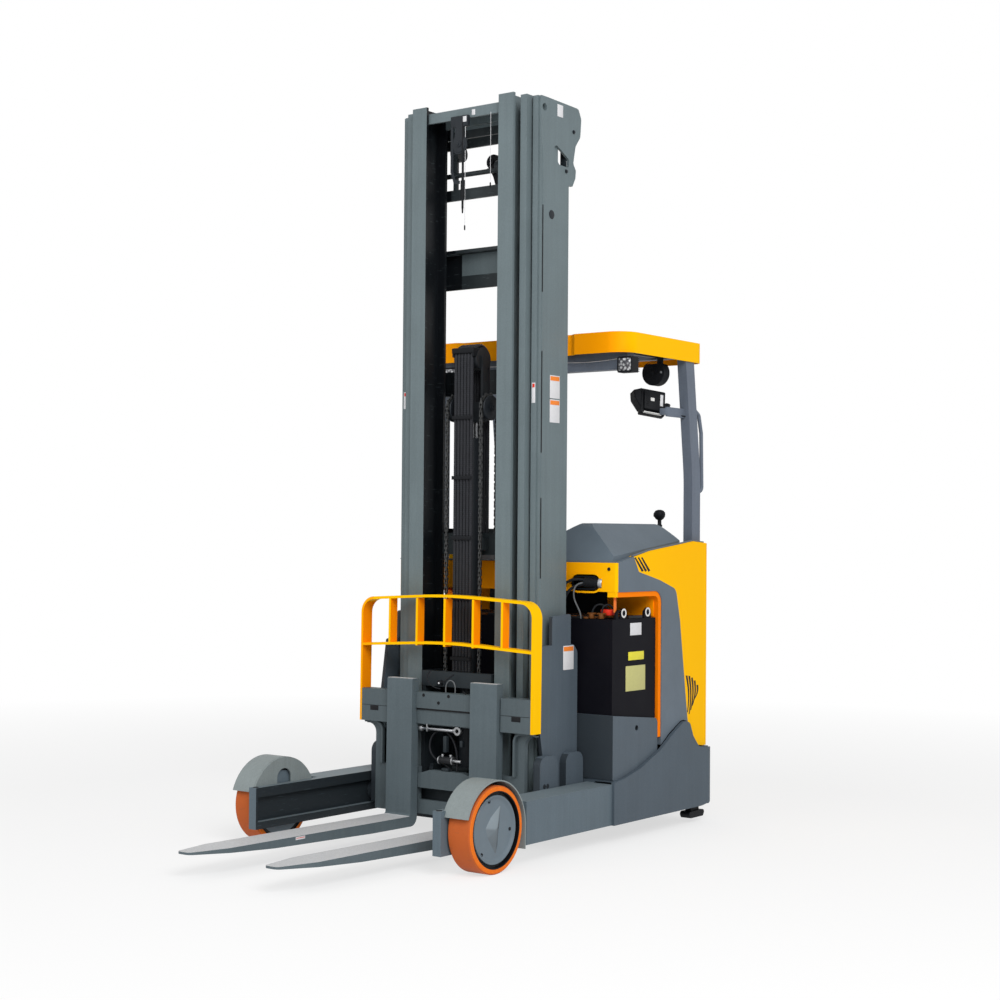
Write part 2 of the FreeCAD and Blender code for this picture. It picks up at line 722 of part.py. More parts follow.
def chassis_frame():
    """Welded lower body: side plates, box beams, battery floor, cab floor, turntable plate and bumper."""
    side_x = chassis_half_width - chassis_side_plate
    side = side_shape(chassis_side_outline(), (side_x, chassis_half_width))
    beam = block((channel_outer_x, side_x), (chassis_side_front_y, chassis_rear_y - 24),
                 (chassis_bottom_z, leg_top_z - 3))
    hollow = block((channel_outer_x + 10, side_x - 10), (chassis_side_front_y + 10, foot_front_y - 30),
                   (chassis_bottom_z - 10, leg_top_z - 13))
    beam = beam.cut(hollow)
    floor_z = battery_floor_z - chassis_plate
    front_plate = block((-channel_outer_x, channel_outer_x),
                        (chassis_front_y, chassis_front_y + chassis_plate), (chassis_bottom_z, floor_z))
    floor = block((-side_x, side_x), (chassis_front_y, cab_front_y), (floor_z, battery_floor_z))
    middle_plate = block((-side_x, side_x), (cab_front_y - chassis_plate, cab_front_y),
                         (chassis_bottom_z, cab_floor_z))
    cab_floor = block((riser_x, side_x), (cab_front_y, cab_rear_y),
                      (cab_floor_z - chassis_plate, cab_floor_z))
    riser_end = riser_x + chassis_plate
    riser = block((riser_x, riser_end), (cab_front_y, cab_rear_y), (cab_floor_z - 65, turntable_z))
    turntable = block((-bay_half_width, riser_end), (cab_front_y - chassis_plate, cab_rear_y),
                      (turntable_z - turntable_thickness, turntable_z))
    bay_wall = block((-bay_half_width + 2, -bay_half_width + 14), (cab_front_y - 2, cab_rear_y + 2),
                     (leg_top_z - 9, turntable_z - 8))
    behind_battery = block((-bay_half_width, riser_end), (cab_front_y - chassis_plate, cab_front_y),
                           (cab_floor_z, turntable_z))
    cab_rear = block((-side_x, side_x), (cab_rear_y, cab_rear_y + chassis_plate),
                     (chassis_bottom_z, cab_floor_z - 7))
    cab_rear_high = block((-bay_half_width, riser_end), (cab_rear_y, cab_rear_y + chassis_plate),
                          (cab_floor_z - 7, turntable_z))
    bumper = block((-side_x, side_x), (chassis_rear_y - 24, chassis_rear_y),
                   (chassis_bottom_z + 29, cab_floor_z - 15))
    whole = union(both_sides(side) + both_sides(beam) + [
        front_plate, floor, middle_plate, cab_floor, riser, turntable, bay_wall, behind_battery,
        cab_rear, cab_rear_high, bumper])
    neck_hole = bar((drive_x, drive_y, turntable_z - 30), ALONG_Z, drive_neck_radius + 6, 60)
    barrel_hole = bar((0, chassis_front_y - 10, reach_cylinder_z), ALONG_Y, reach_barrel_radius,
                      reach_barrel_length + 40)
    corner_x = chassis_half_width - chassis_corner_radius
    corner_y = chassis_rear_y - chassis_corner_radius
    corner = block((corner_x, chassis_half_width + 5), (corner_y, chassis_rear_y + 5), (0, 600))
    corner = corner.cut(bar((corner_x, corner_y, 0), ALONG_Z, chassis_corner_radius, 600))
    return whole.cut([neck_hole, barrel_hole] + both_sides(corner))


def rear_feet():
    """Stop pads under both rear corners, just clear of the floor."""
    half = foot_width / 2
    pad = side_shape([(foot_front_y, foot_bottom_z + 30, 12), (foot_front_y + 20, foot_bottom_z, 10),
                      (foot_rear_y - 20, foot_bottom_z, 10), (foot_rear_y, foot_bottom_z + 30, 12)],
                     (foot_x - half, foot_x + half))
    stem = block((foot_x - 14, foot_x + 14), (foot_front_y + 40, foot_rear_y - 40),
                 (foot_bottom_z + 30, chassis_bottom_z))
    return both_sides(union([pad, stem]))


def drive_unit():
    """Steered gear housing: disc under the turntable plate, neck through it and bearing flange above."""
    disc_top = turntable_z - turntable_thickness - MOVE_GAP
    disc_bottom = disc_top - drive_disc_thickness
    disc = bar((drive_x, drive_y, disc_bottom), ALONG_Z, drive_disc_radius, drive_disc_thickness)
    neck = bar((drive_x, drive_y, disc_top), ALONG_Z, drive_neck_radius, turntable_z - disc_top + SEAT_GAP)
    flange = bar((drive_x, drive_y, turntable_z + SEAT_GAP), ALONG_Z, drive_flange_radius,
                 drive_flange_thickness)
    housing_x = drive_x + drive_wheel_width / 2 + MOVE_GAP
    bottom = drive_wheel_radius - 61.5
    housing = side_shape([(drive_y - 62, bottom, 40), (drive_y + 62, bottom, 40),
                          (drive_y + 75, disc_bottom + 2), (drive_y - 75, disc_bottom + 2)],
                         (housing_x, housing_x + drive_housing_width))
    axle = bar((drive_x - 50, drive_y, drive_wheel_radius), ALONG_X, drive_axle_radius,
               housing_x - drive_x + drive_housing_width - 1)
    return union([disc, neck, flange, housing, axle])


def drive_motor():
    """Upright traction motor on the steered housing."""
    body = bar((drive_x, drive_y, motor_foot_z), ALONG_Z, motor_radius, motor_height)
    cap = bar((drive_x, drive_y, motor_foot_z + motor_height), ALONG_Z, motor_radius - 20, motor_cap_height)
    return union([body, cap])


def drive_wheel():
    """Drive wheel: rim and tyre in one, on the gear housing's axle."""
    start = drive_x - drive_wheel_width / 2
    tyre = ring((start, drive_y, drive_wheel_radius), ALONG_X, drive_wheel_radius, drive_rim_radius,
                drive_wheel_width)
    web = ring((start + 40, drive_y, drive_wheel_radius), ALONG_X, drive_rim_radius + 1,
               drive_axle_radius + RUN_GAP, 40)
    sleeve = ring((start + 20, drive_y, drive_wheel_radius), ALONG_X, drive_axle_radius + 25,
                  drive_axle_radius + RUN_GAP, drive_wheel_width - 30)
    return union([tyre, web, sleeve])


# ================================================================ battery and panels
def battery():
    """Traction battery block with four lifting eyes at its upper edges."""
    body = block((-battery_half_width, battery_half_width), (battery_front_y, battery_rear_y),
                 (battery_floor_z + tray_floor, battery_top_z))
    eyes = []
    for y in (battery_front_y + lift_eye_inset, battery_rear_y - lift_eye_inset):
        lug = side_shape([(y - 30, battery_top_z), (y + 30, battery_top_z),
                          (y + 26, lift_eye_top_z, 24), (y - 26, lift_eye_top_z, 24)],
                         (battery_half_width - lift_eye_sheet - 3, battery_half_width - 3))
        hole = bar((battery_half_width - 20, y, lift_eye_top_z - 22), ALONG_X, lift_eye_radius, 30)
        eyes.extend(both_sides(lug.cut(hole)))
    return union([body] + eyes)


def battery_tray():
    """Steel tray: floor plate, front plate and both side plates."""
    floor = block((-tray_half_width, tray_half_width), (tray_front_y, tray_rear_y),
                  (battery_floor_z, battery_floor_z + tray_floor))
    front = block((-tray_half_width, tray_half_width), (tray_front_y, tray_front_y + tray_sheet),
                  (battery_floor_z, tray_front_top_z))
    side = side_shape([(tray_front_y, battery_floor_z), (tray_rear_y, battery_floor_z),
                       (tray_rear_y, tray_rear_top_z, 25), (tray_front_y, tray_front_top_z)],
                      (tray_half_width - tray_sheet, tray_half_width))
    hole = bar((tray_half_width - 20, tray_front_y + 188, tray_front_top_z - 65), ALONG_X, tray_hole_radius, 40)
    return union([floor, front] + both_sides(side.cut(hole)))


def panel_top():
    """Upper edge of the side panels, from the cowl to the rear corner, as (y, z)."""
    return [(body_front_y, cowl_top_z), (body_front_y + 123, cowl_top_z + 25),
            (body_front_y + 252, cowl_top_z + 51), (panel_rear_y - 256, cowl_top_z + 80),
            (panel_rear_y - 140, cowl_top_z + 94, 60), (panel_rear_y, panel_rear_top_z, 25)]


def colour_split():
    """Line between the grey cover and the yellow panel, from the sweep up to the front tip, as (y, z)."""
    return [(cab_front_y + 245, sweep_top_z - 10), (cab_front_y + 229, sweep_top_z + 86),
            (cab_front_y + 173, opening_top_z - 134), (cab_front_y + 137, opening_top_z + 5, 45),
            (cab_front_y, opening_top_z + 47, 60), (body_front_y + 164, cowl_top_z - 40, 15),
            (body_front_y + 123, cowl_top_z + 25)]


def side_cover():
    """Left grey cover: arch over the battery opening and the strip behind it."""
    panel_x = (body_half_width - panel_thickness, body_half_width)
    points = [(body_front_y, cowl_top_z), (body_front_y, opening_top_z),
              (opening_rear_y, opening_top_z, opening_corner), (opening_rear_y, sweep_top_z - 95),
              (cab_front_y + 85, sweep_top_z - 50), (cab_front_y + 193, sweep_top_z + 2, 60)]
    return side_shape(points + colour_split(), panel_x)


def side_panel():
    """Left yellow panel: blade along the top that widens into the rear corner."""
    panel_x = (body_half_width - panel_thickness, body_half_width)
    lower = [(panel_rear_y, cab_floor_z + 5), (cab_rear_y - 50, cab_floor_z + 5),
             (cab_rear_y - 109, cab_floor_z + 15, 50), (cab_front_y + 269, sweep_top_z - 70, 25),
             (cab_front_y + 245, sweep_top_z - 10)]
    split = colour_split()[1:]
    top = panel_top()[2:]
    panel = side_shape(lower + split + top, panel_x)
    corner_x = body_half_width - panel_corner_radius
    corner_y = panel_rear_y - panel_corner_radius
    corner = block((corner_x, body_half_width + 5), (corner_y, panel_rear_y + 5), (0, panel_rear_top_z + 50))
    corner = corner.cut(bar((corner_x, corner_y, 0), ALONG_Z, panel_corner_radius, panel_rear_top_z + 50))
    return panel.cut(corner)


def rear_panel():
    """Yellow panel behind the seat; the cab is open to the rear beside it."""
    sheet = block((-panel_inner_x, riser_x), (panel_back_y, panel_rear_y), (turntable_z, cowl_top_z - 7))
    corner = block((console_inner_x, panel_inner_x), (panel_back_y, panel_rear_y),
                   (cab_floor_z, panel_rear_top_z - 21))
    return [sheet, corner]


def front_cowl():
    """Orange cowl across the front with a hose slot, and the lips around both battery openings."""
    front = plan_shape([(-body_half_width, cowl_front_y, 11), (body_half_width, cowl_front_y, 11),
                        (body_half_width, body_front_y), (-body_half_width, body_front_y)],
                       (cowl_bottom_z, cowl_top_z))
    slot_x = (body_half_width - hose_slot_x[0], body_half_width - hose_slot_x[1])
    slot_z = (cowl_bottom_z + hose_slot_z[0], cowl_bottom_z + hose_slot_z[1])
    slot = front_shape([(slot_x[0], slot_z[0], 20), (slot_x[1], slot_z[0], 20), (slot_x[1], slot_z[1], 20),
                        (slot_x[0], slot_z[1], 20)], (cowl_front_y - 5, body_front_y + 5))
    lip_x = (panel_inner_x - 20, body_half_width - 4)
    inner_top = opening_top_z - surround_width
    inner_rear = opening_rear_y - surround_width
    lip = side_shape([(body_front_y, opening_top_z), (body_front_y, inner_top),
                      (inner_rear, inner_top, opening_corner - surround_width),
                      (inner_rear, turntable_z + 4), (opening_rear_y, turntable_z + 4),
                      (opening_rear_y, opening_top_z, opening_corner)], lip_x)
    web = block((lip_x[0], lip_x[1]), (cowl_front_y + 2, body_front_y), (inner_top, opening_top_z + 10))
    return union([front.cut(slot)] + both_sides(lip) + both_sides(web))


def hood():
    """Grey deck over the battery with the faceted hump that carries the steering console."""
    inner = panel_inner_x
    strip_z = (cowl_top_z, cowl_top_z + 6)
    deck = block((-inner, inner), (body_front_y, opening_rear_y), (cowl_top_z - deck_sheet, cowl_top_z))
    front_strip = block((-body_half_width, body_half_width), (cowl_front_y + 4, body_front_y), strip_z)
    strip_step = block((-inner, inner), (body_front_y, body_front_y + 14), strip_z)
    hump = side_shape([(cowl_front_y + 4, cowl_top_z), (opening_rear_y + 209, cowl_top_z),
                       (opening_rear_y + 194, hump_top_z - 57, 60), (opening_rear_y + 169, hump_top_z, 40),
                       (cowl_front_y + 89, hump_top_z, 40)], (hump_inner_x, inner))
    hump = trim(hump, (body_half_width, cowl_front_y, cowl_top_z + 3), (0.62, -0.10, 0.78))
    hump = trim(hump, (hump_inner_x + 115, cowl_front_y + 134, hump_top_z), (-0.42, -0.1, 0.9))
    return union([deck, front_strip, strip_step, hump])


# ================================================================ operator's place
def console():
    """Steering console against the left wall: cabinet, column and the round base of the wheel."""
    inner = panel_inner_x
    post_x = rear_post_inner_x - 5
    cabinet = plan_shape([(console_inner_x, opening_rear_y), (inner, opening_rear_y),
                          (inner, rear_post_foot_y - 5), (post_x, rear_post_foot_y - 5),
                          (post_x, panel_back_y), (console_inner_x, panel_back_y)],
                         (cab_floor_z, cowl_top_z - deck_sheet))
    arm_z = (cowl_top_z - deck_sheet - 57, cowl_top_z - deck_sheet)
    arm = block((steer_x - 40, console_inner_x), (steer_y - 55, steer_y + 40), arm_z)
    column = bar((steer_x, steer_y, arm_z[0] + 30), ALONG_Z, steer_hub_radius, steer_z - 40 - arm_z[0] - 30)
    pedal = block((console_inner_x - 150, console_inner_x - 70), (cab_front_y + 85, cab_front_y + 205),
                  (cab_floor_z, cab_floor_z + 30))
    return [union([cabinet, arm, column]), pedal]


def steering_wheel():
    """Small steering wheel with a spinner knob, seated on its column."""
    base = steer_z - 40 + SEAT_GAP
    hub = bar((steer_x, steer_y, base), ALONG_Z, steer_hub_radius, 32)
    ring_radius = steer_rim_radius - steer_rim_bar
    rim = Part.makeTorus(ring_radius, steer_rim_bar, V(steer_x, steer_y, base + 24))
    spokes = []
    for degrees in (steer_knob_deg, steer_knob_deg + 120, steer_knob_deg + 240):
        spoke = bar((steer_x, steer_y, base + 22), V(math.cos(math.radians(degrees)),
                    math.sin(math.radians(degrees)), 0), 8, ring_radius - 2)
        spokes.append(spoke)
    knob_x = steer_x + ring_radius * math.cos(math.radians(steer_knob_deg))
    knob_y = steer_y + ring_radius * math.sin(math.radians(steer_knob_deg))
    stem = bar((knob_x, knob_y, base + 24), ALONG_Z, 6, 50)
    knob = Part.makeSphere(steer_knob_radius, V(knob_x, knob_y, base + 88))
    return union([hub, rim, stem, knob] + spokes)


def seat_base():
    """Box under the seat that covers the traction motor: four walls and a lid."""
    inner = panel_inner_x
    front_y = opening_rear_y + 2
    sheet = seat_base_sheet
    outer = block((-inner, riser_x - 4), (front_y, panel_back_y), (turntable_z, seat_base_top_z))
    hollow = block((-inner + sheet, riser_x - 4 - sheet), (front_y + sheet, panel_back_y - sheet),
                   (turntable_z, seat_base_top_z - sheet))
    return outer.cut(hollow)


def seat_cushion():
    """Seat cushion."""
    points = [(seat_back_x, opening_rear_y + 10, 30), (seat_front_x, opening_rear_y + 10, 60),
              (seat_front_x, panel_back_y - 15, 60), (seat_back_x, panel_back_y - 15, 30)]
    return plan_shape(points, (seat_base_top_z, seat_top_z))


def seat_back():
    """Backrest behind the cushion, slightly reclined."""
    points = [(seat_back_x, seat_base_top_z), (seat_back_x - 40, seat_back_top_z, 30),
              (seat_back_x - 95, seat_back_top_z, 20), (seat_back_x - 85, seat_base_top_z)]
    return front_shape(points, (opening_rear_y + 10, rear_post_foot_y - 10))


def armrest():
    """Control armrest on the deck, with four finger levers."""
    top = cowl_top_z
    rest = block((riser_x - 150, riser_x + 100), (opening_rear_y - 81, opening_rear_y - 5), (top, top + 26))
    levers = []
    for index in range(4):
        x = riser_x + 30 + index * 18
        levers.append(bar((x, opening_rear_y - 51, top + 20), ALONG_Z, 4, 34))
        levers.append(Part.makeSphere(8, V(x, opening_rear_y - 51, top + 56)))
    return union([rest] + levers)


# ================================================================ overhead guard
def hose_sleeve():
    """Sleeve that brings the hoses out of the cowl's slot, on a plate behind the slot."""
    slot_x = (body_half_width - hose_slot_x[0], body_half_width - hose_slot_x[1])
    slot_z = (cowl_bottom_z + hose_slot_z[0], cowl_bottom_z + hose_slot_z[1])
    plate = block((slot_x[0] - 12, slot_x[1] + 12), (body_front_y, body_front_y + 4),
                  (slot_z[0] - 9, slot_z[1] + 9))
    sleeve = bar(sleeve_start, V(*sleeve_direction), sleeve_radius, sleeve_length)
    front = block((slot_x[0] - 100, slot_x[1] + 100), (body_front_y - 200, body_front_y + 1),
                  (slot_z[0] - 50, slot_z[1] + 50))
    return union([plate, sleeve.common(front).cut(front_cowl())])


def cowl_hose(route):
    """Hydraulic hose from the sleeve down to the mast's hose ledge."""
    return cord_tube(route, cowl_hose_diameter).cut(hose_sleeve())


def cowl_cable():
    """Cable from the sleeve down to the top of the battery."""
    return cord_tube(cowl_cable_route, cowl_cable_diameter).cut(hose_sleeve()).cut(battery())


def carriage_wire():
    """Thin line that stands in a loop on the fork frame's upper bar."""
    return cord_tube(carriage_wire_route, carriage_wire_diameter).cut(fork_frame())


def carriage_hose():
    """Hose loop in the fork frame's window, both ends on the lower bar."""
    return cord_tube(carriage_hose_route, carriage_hose_diameter).cut(fork_frame())


def guard_outline(inset):
    """Plan of the roof, drawn in by an inset; its front edge steps back between the two work lights."""
    side = guard_half_width - inset
    front = guard_front_y + inset
    rear = guard_rear_y - inset
    step = front + guard_recess
    left_x = front_beam_half / 2 + inset
    right_x = -front_beam_half * 0.62 - inset
    return [(-side, front, guard_front_corner - inset), (right_x - 30, front), (right_x, step),
            (left_x, step), (left_x + 30, front), (side, front, guard_front_corner - inset),
            (side, rear, guard_rear_corner - inset), (-side, rear, guard_rear_corner - inset)]


def guard_roof():
    """Roof: a deep band with rounded corners and a top plate slotted for the view upwards."""
    outer = plan_shape(guard_outline(0.0), (guard_under_z, guard_top_z))
    hollow = plan_shape(guard_outline(guard_sheet), (guard_under_z, guard_top_z - guard_sheet))
    slots = []
    margin = guard_margin
    field = 2 * (guard_half_width - margin)
    pitch = (field + guard_bar_width) / (guard_bar_count + 1)
    for index in range(guard_bar_count + 1):
        start = -guard_half_width + margin + index * pitch
        slots.append(block((start, start + pitch - guard_bar_width),
                           (guard_front_y + margin, rear_post_head_y - 75),
                           (guard_top_z - 20, guard_top_z + 10)))
    return outer.cut([hollow] + slots)


def guard_frame():
    """Dark frame that carries the roof: ring of box beams, curved rear posts and straight front posts."""
    top = guard_top_z - guard_sheet
    beam_z = (guard_under_z + 15, top)
    front_z = (guard_under_z - frame_drop, top)
    beam_y = (front_post_y, front_post_y + front_post_depth)
    front_beam = block((-front_beam_half, front_beam_half), beam_y, front_z)
    side_x = rear_post_inner_x
    side_beam = block((side_x - 20, side_x + 26), (front_post_y, rear_post_head_y + post_depth), beam_z)
    rear_beam = block((-side_x, side_x), (rear_post_head_y, rear_post_head_y + 40), beam_z)
    foot_z = panel_rear_top_z - 20
    bend_z = foot_z + 330
    rear_post = side_shape([(rear_post_foot_y, foot_z), (rear_post_foot_y + post_depth, foot_z),
                            (rear_post_foot_y + post_depth, bend_z, 900),
                            (rear_post_head_y + post_depth, top), (rear_post_head_y, top),
                            (rear_post_foot_y, bend_z, 830)], (side_x, rear_post_x))
    sockets = [block((side_x, rear_post_x), (rear_post_foot_y, panel_back_y), (cab_floor_z, foot_z)),
               block((-rear_post_x, -side_x), (rear_post_foot_y, panel_back_y),
                     (seat_base_top_z, foot_z))]
    front_posts = []
    for x in (front_post_left_x, front_post_right_x):
        front_posts.append(block((x - front_post_width / 2, x + front_post_width / 2), beam_y,
                                 (cowl_top_z, front_z[0] + 1)))
    return union([front_beam, rear_beam] + both_sides(side_beam) + both_sides(rear_post)
                 + sockets + front_posts)


def grab_handle():
    """Bent tube behind the left rear post, for climbing in."""
    x = rear_post_x - 12
    post_y = rear_post_foot_y + post_depth
    top = guard_top_z - 306
    points = [(x, post_y - 38, top), (x, post_y + 3, top - 23), (x, post_y + 26, top - 105),
              (x, post_y + 33, top - 365), (x, post_y - 10, top - 385)]
    return tube_path(points, handle_radius, handle_bend).cut(guard_frame())


def monitor():
    """Display on an arm at the left rear post: arm, cross piece, stay and tilted screen."""
    arm_x = rear_post_x - 34
    arm_z = (guard_top_z - 350, guard_top_z - 305)
    arm_y = rear_post_head_y - 155
    arm = block((arm_x, arm_x + 10), (arm_y, rear_post_foot_y), arm_z)
    cross = block((arm_x - 106, arm_x + 1), (arm_y, arm_y + 12), (arm_z[0] + 9, arm_z[1] - 8))
    screen = block((-90, 90), (-18, 18), (-58, 58))
    screen.rotate(V(0, 0, 0), ALONG_X, -18)
    screen.rotate(V(0, 0, 0), ALONG_Z, 55)
    screen.translate(V(arm_x - 96, arm_y + 42, arm_z[1] + 19))
    stay = bar((arm_x - 76, arm_y + 6, arm_z[1] - 16), ALONG_Z, 10, 40)
    return union([arm, cross, screen, stay]).cut(guard_frame())


def cab_fan():
    """Round fan housing, cut off flat at its top, on a bracket under the guard's side beam."""
    centre = (rear_post_inner_x - 64, rear_post_head_y - 96, guard_under_z - 55)
    disc = bar(centre, ALONG_Y, fan_radius, fan_depth)
    disc = disc.cut(block((centre[0] - 80, centre[0] + 80), (centre[1] - 5, centre[1] + fan_depth + 5),
                          (centre[2] + 40, centre[2] + 90)))
    bracket = block((centre[0] + 18, centre[0] + 42), (centre[1] + 5, centre[1] + 20),
                    (centre[2] - 20, guard_under_z + 16))
    bracket_arm = block((centre[0] + 18, rear_post_inner_x - 20), (centre[1] + 5, centre[1] + 20),
                        (guard_under_z + 16, guard_under_z + 40))
    return union([disc, bracket, bracket_arm])


def work_light(x, stay_x):
    """Square work light held in front of the guard's front beam."""
    front = guard_front_y + 6
    half = lamp_width / 2
    top = guard_top_z - lamp_drop
    bottom = top - lamp_height
    lamp = block((x - half, x + half), (front, front_post_y - 10), (bottom, top))
    stay = block((stay_x - 6, stay_x + 6), (front_post_y - 11, front_post_y), (bottom + 26, top - 18))
    return union([lamp, stay])


# ================================================================ mast
def rail(x, front_y, z, channel_web_x):
    """Left mast rail of C section, open to the inside."""
    rear_y = front_y + rail_depth
    web = block((channel_web_x, channel_web_x + rail_web), (front_y, rear_y), z)
    front = block(x, (front_y, front_y + rail_flange), z)
    rear = block((x[0], channel_web_x + rail_web), (rear_y - rail_flange, rear_y), z)
    return union([web, front, rear])


def outer_mast():
    """Outer rails, their deep side plates with the ears, and the cross beams behind them."""
    rails = both_sides(rail((outer_rail_x, outer_rail_outer_x), outer_rail_front_y,
                            (outer_mast_bottom_z, outer_mast_top_z), outer_web_x))
    top = outer_mast_top_z
    rear = mast_plate_rear_y
    ear_rear = rear + mast_ear_length
    plate_x = (outer_rail_outer_x, outer_rail_outer_x + mast_plate)
    plate = side_shape([(mast_plate_front_y, outer_mast_bottom_z), (rear, outer_mast_bottom_z),
                        (rear, top - 351), (rear + 28, top - 351), (rear + 50, top - 313, 20),
                        (rear + 54, top - 278, 10), (rear + 33, top - 251, 20), (rear + 50, top - 173, 30),
                        (rear + 86, top - 127, 30), (ear_rear, top - 47, 30), (ear_rear - 22, top - 5, 20),
                        (mast_plate_front_y + 44, top, 40), (mast_plate_front_y, top)], plate_x)
    window = side_shape([(rear - 112, top - 201, 8), (rear - 90, top - 193, 8), (rear, top - 238, 15),
                         (rear, top - 275, 12), (rear - 77, top - 273, 20)], (plate_x[0] - 5, plate_x[1] + 5))
    eye = bar((plate_x[0] - 20, mast_plate_front_y + 23, top - 46), ALONG_X, 16, 60)
    half = outer_rail_outer_x
    back = (rear - outer_beam_depth, rear)
    beams = [block((-half, half), back, (outer_mast_bottom_z, outer_mast_bottom_z + 175)),
             block((-half, half), back, (top - 123, top - 23))]
    for beam in outer_beams:
        beams.append(block((-half, half), back, (top - beam[0], top - beam[1])))
    shelf_top = top - outer_beams[0][1]
    shelf = block((-half, half), (rear - 60, back[0]), (shelf_top - 15, shelf_top))
    clear = lift_barrel_radius + MOVE_GAP
    cylinder_gap = block((lift_cylinder_x - clear, lift_cylinder_x + clear), (rear - 112, rear),
                         (shelf_top - 75, shelf_top + 25))
    shelf = shelf.cut(both_sides(cylinder_gap))
    ties = []
    for low, high in outer_ties:
        start = outer_mast_bottom_z + low if low > 0 else top + low
        end = outer_mast_bottom_z + high if low > 0 else top + high
        ties.extend(both_sides(block((outer_web_x, half), (outer_rail_rear_y - 2, rear), (start, end))))
    ledge_z = (hose_ledge_z - 15, hose_ledge_z)
    ledge = block((half - 80, half), (rear - 2, rear + hose_ledge_depth), ledge_z)
    ledge_plate = block((half - 80, half), (rear - 8, rear), (ledge_z[0] - 40, ledge_z[1]))
    whole = union(rails + both_sides(plate.cut(window)) + beams + [shelf] + ties + [ledge, ledge_plate])
    return whole.cut(both_sides(eye))


def lift_barrels():
    """Two main lift cylinders behind the outer rails, standing on the foot beam."""
    barrels = []
    z = outer_mast_bottom_z
    for x in (-lift_cylinder_x, lift_cylinder_x):
        tube = ring((x, lift_cylinder_y, z + 12), ALONG_Z, lift_barrel_radius, lift_rod_radius + 5,
                    lift_barrel_top_z - z - 12)
        gland = ring((x, lift_cylinder_y, lift_barrel_top_z), ALONG_Z, lift_barrel_radius,
                     lift_rod_radius + RUN_GAP, lift_gland)
        foot = bar((x, lift_cylinder_y, z), ALONG_Z, lift_barrel_radius, 12)
        barrels.append(union([tube, gland, foot]))
    return barrels


def lift_rods():
    """Rods of the two main lift cylinders, fixed under the middle mast's arms."""
    rods = []
    for x in (-lift_cylinder_x, lift_cylinder_x):
        rods.append(bar((x, lift_cylinder_y, outer_mast_bottom_z + 40), ALONG_Z, lift_rod_radius,
                        lift_arm_z - outer_mast_bottom_z - 40))
    return rods


def middle_mast():
    """Middle rails, top beam with the arms over the lift rods, bottom beam, rollers and chain pulleys."""
    front = middle_rail_front_y
    rear = front + rail_depth
    top = middle_mast_top_z
    half = middle_rail_outer_x
    back = (rear, rear + 12)
    rails = both_sides(rail((middle_rail_x, half), front, (middle_mast_bottom_z, top), middle_web_x))
    beams = [block((-half, half), back, (lift_arm_z, top - 18)),
             block((-half, half), back, (top - 378, top - 330)),
             block((-half, half), back, (middle_mast_bottom_z + 25, middle_mast_bottom_z + 155))]
    tie_rod = bar((-half + 2, rear + 4, top - 266), ALONG_X, 11, 2 * half - 4)
    hanger = block((-half + 140, -half + 160), (rear + 2, rear + 16), (top - 373, top - 88))
    guide = bar((-half + 130, rear + 28, top - 163), ALONG_X, 38, 40)
    guide_pin = bar((-half + 140, rear - 1, top - 163), ALONG_Y, 9, 30)
    stub = bar((58, rear + 10, top - 253), ALONG_X, 32, 30)
    arm = block((lift_cylinder_x - 17, lift_cylinder_x + 17), (rear + 10, lift_cylinder_y + 20),
                (lift_arm_z, lift_arm_z + 48))
    roller = bar((half, outer_rail_front_y + rail_depth / 2, mast_roller_z), ALONG_X, rail_roller_radius, 22)
    pulley_x = inner_web_x + rail_web + MOVE_GAP
    pulley_y = front + 95
    pulley = bar((pulley_x, pulley_y, top - 83), ALONG_X, 44, 28)
    pulley_pin = bar((pulley_x - 2, pulley_y, top - 83), ALONG_X, 12, middle_web_x - pulley_x + 3)
    return union(rails + beams + both_sides(arm) + both_sides(roller) + both_sides(pulley)
                 + both_sides(pulley_pin) + [tie_rod, hanger, guide, guide_pin, stub])


def inner_mast():
    """Inner rails with a wide front face, cross beams, bottom rollers and the free-lift cylinder's seat."""
    front = inner_rail_front_y
    rear = front + rail_depth
    z = (inner_mast_bottom_z, inner_mast_top_z)
    rails = both_sides(rail((inner_rail_x, inner_rail_outer_x), front, z, inner_web_x))
    half = inner_web_x
    back = (rear - rail_flange, rear)
    beams = [block((-half, half), (front + 18, rear), (inner_mast_top_z - 40, inner_mast_top_z - 28)),
             block((-half, half), (front + 18, front + 30), (inner_mast_top_z - 72, inner_mast_top_z - 28)),
             block((-half, half), back, (inner_mast_top_z - 74, inner_mast_top_z - 28)),
             block((-half, half), back, inner_tie_z),
             block((-half, half), back, (inner_mast_bottom_z + 25, free_foot_z))]
    seat = block((-60, 60), (free_cylinder_y - free_barrel_radius, rear), (free_foot_z - 12, free_foot_z))
    seat_rib = block((-8, 8), (free_cylinder_y - 20, rear), (free_foot_z - 100, free_foot_z - 10))
    clamp = block((-60, 60), (free_cylinder_y + 10, rear - 2), (inner_tie_z[0] + 20, inner_tie_z[1] - 20))
    clamp = clamp.cut(bar((0, free_cylinder_y, inner_tie_z[0]), ALONG_Z, free_barrel_radius, 200))
    roller = bar((inner_web_x, middle_rail_front_y + rail_depth / 2, mast_roller_z), ALONG_X,
                 rail_roller_radius, middle_web_x - 2 - inner_web_x)
    inside = block((0, inner_web_x + rail_web), (front, rear + 110), (mast_roller_z - 90, mast_roller_z + 110))
    return union(rails + beams + both_sides(roller.cut(inside)) + [seat, seat_rib, clamp])


def free_barrel():
    """Free-lift cylinder in the middle of the inner mast."""
    y = free_cylinder_y
    tube = ring((0, y, free_foot_z), ALONG_Z, free_barrel_radius, free_rod_radius + 5,
                free_barrel_top_z - 40 - free_foot_z)
    gland = ring((0, y, free_barrel_top_z - 40), ALONG_Z, free_barrel_radius, free_rod_radius + RUN_GAP, 40)
    foot = bar((0, y, free_foot_z), ALONG_Z, free_barrel_radius, 12)
    return union([tube, gland, foot])


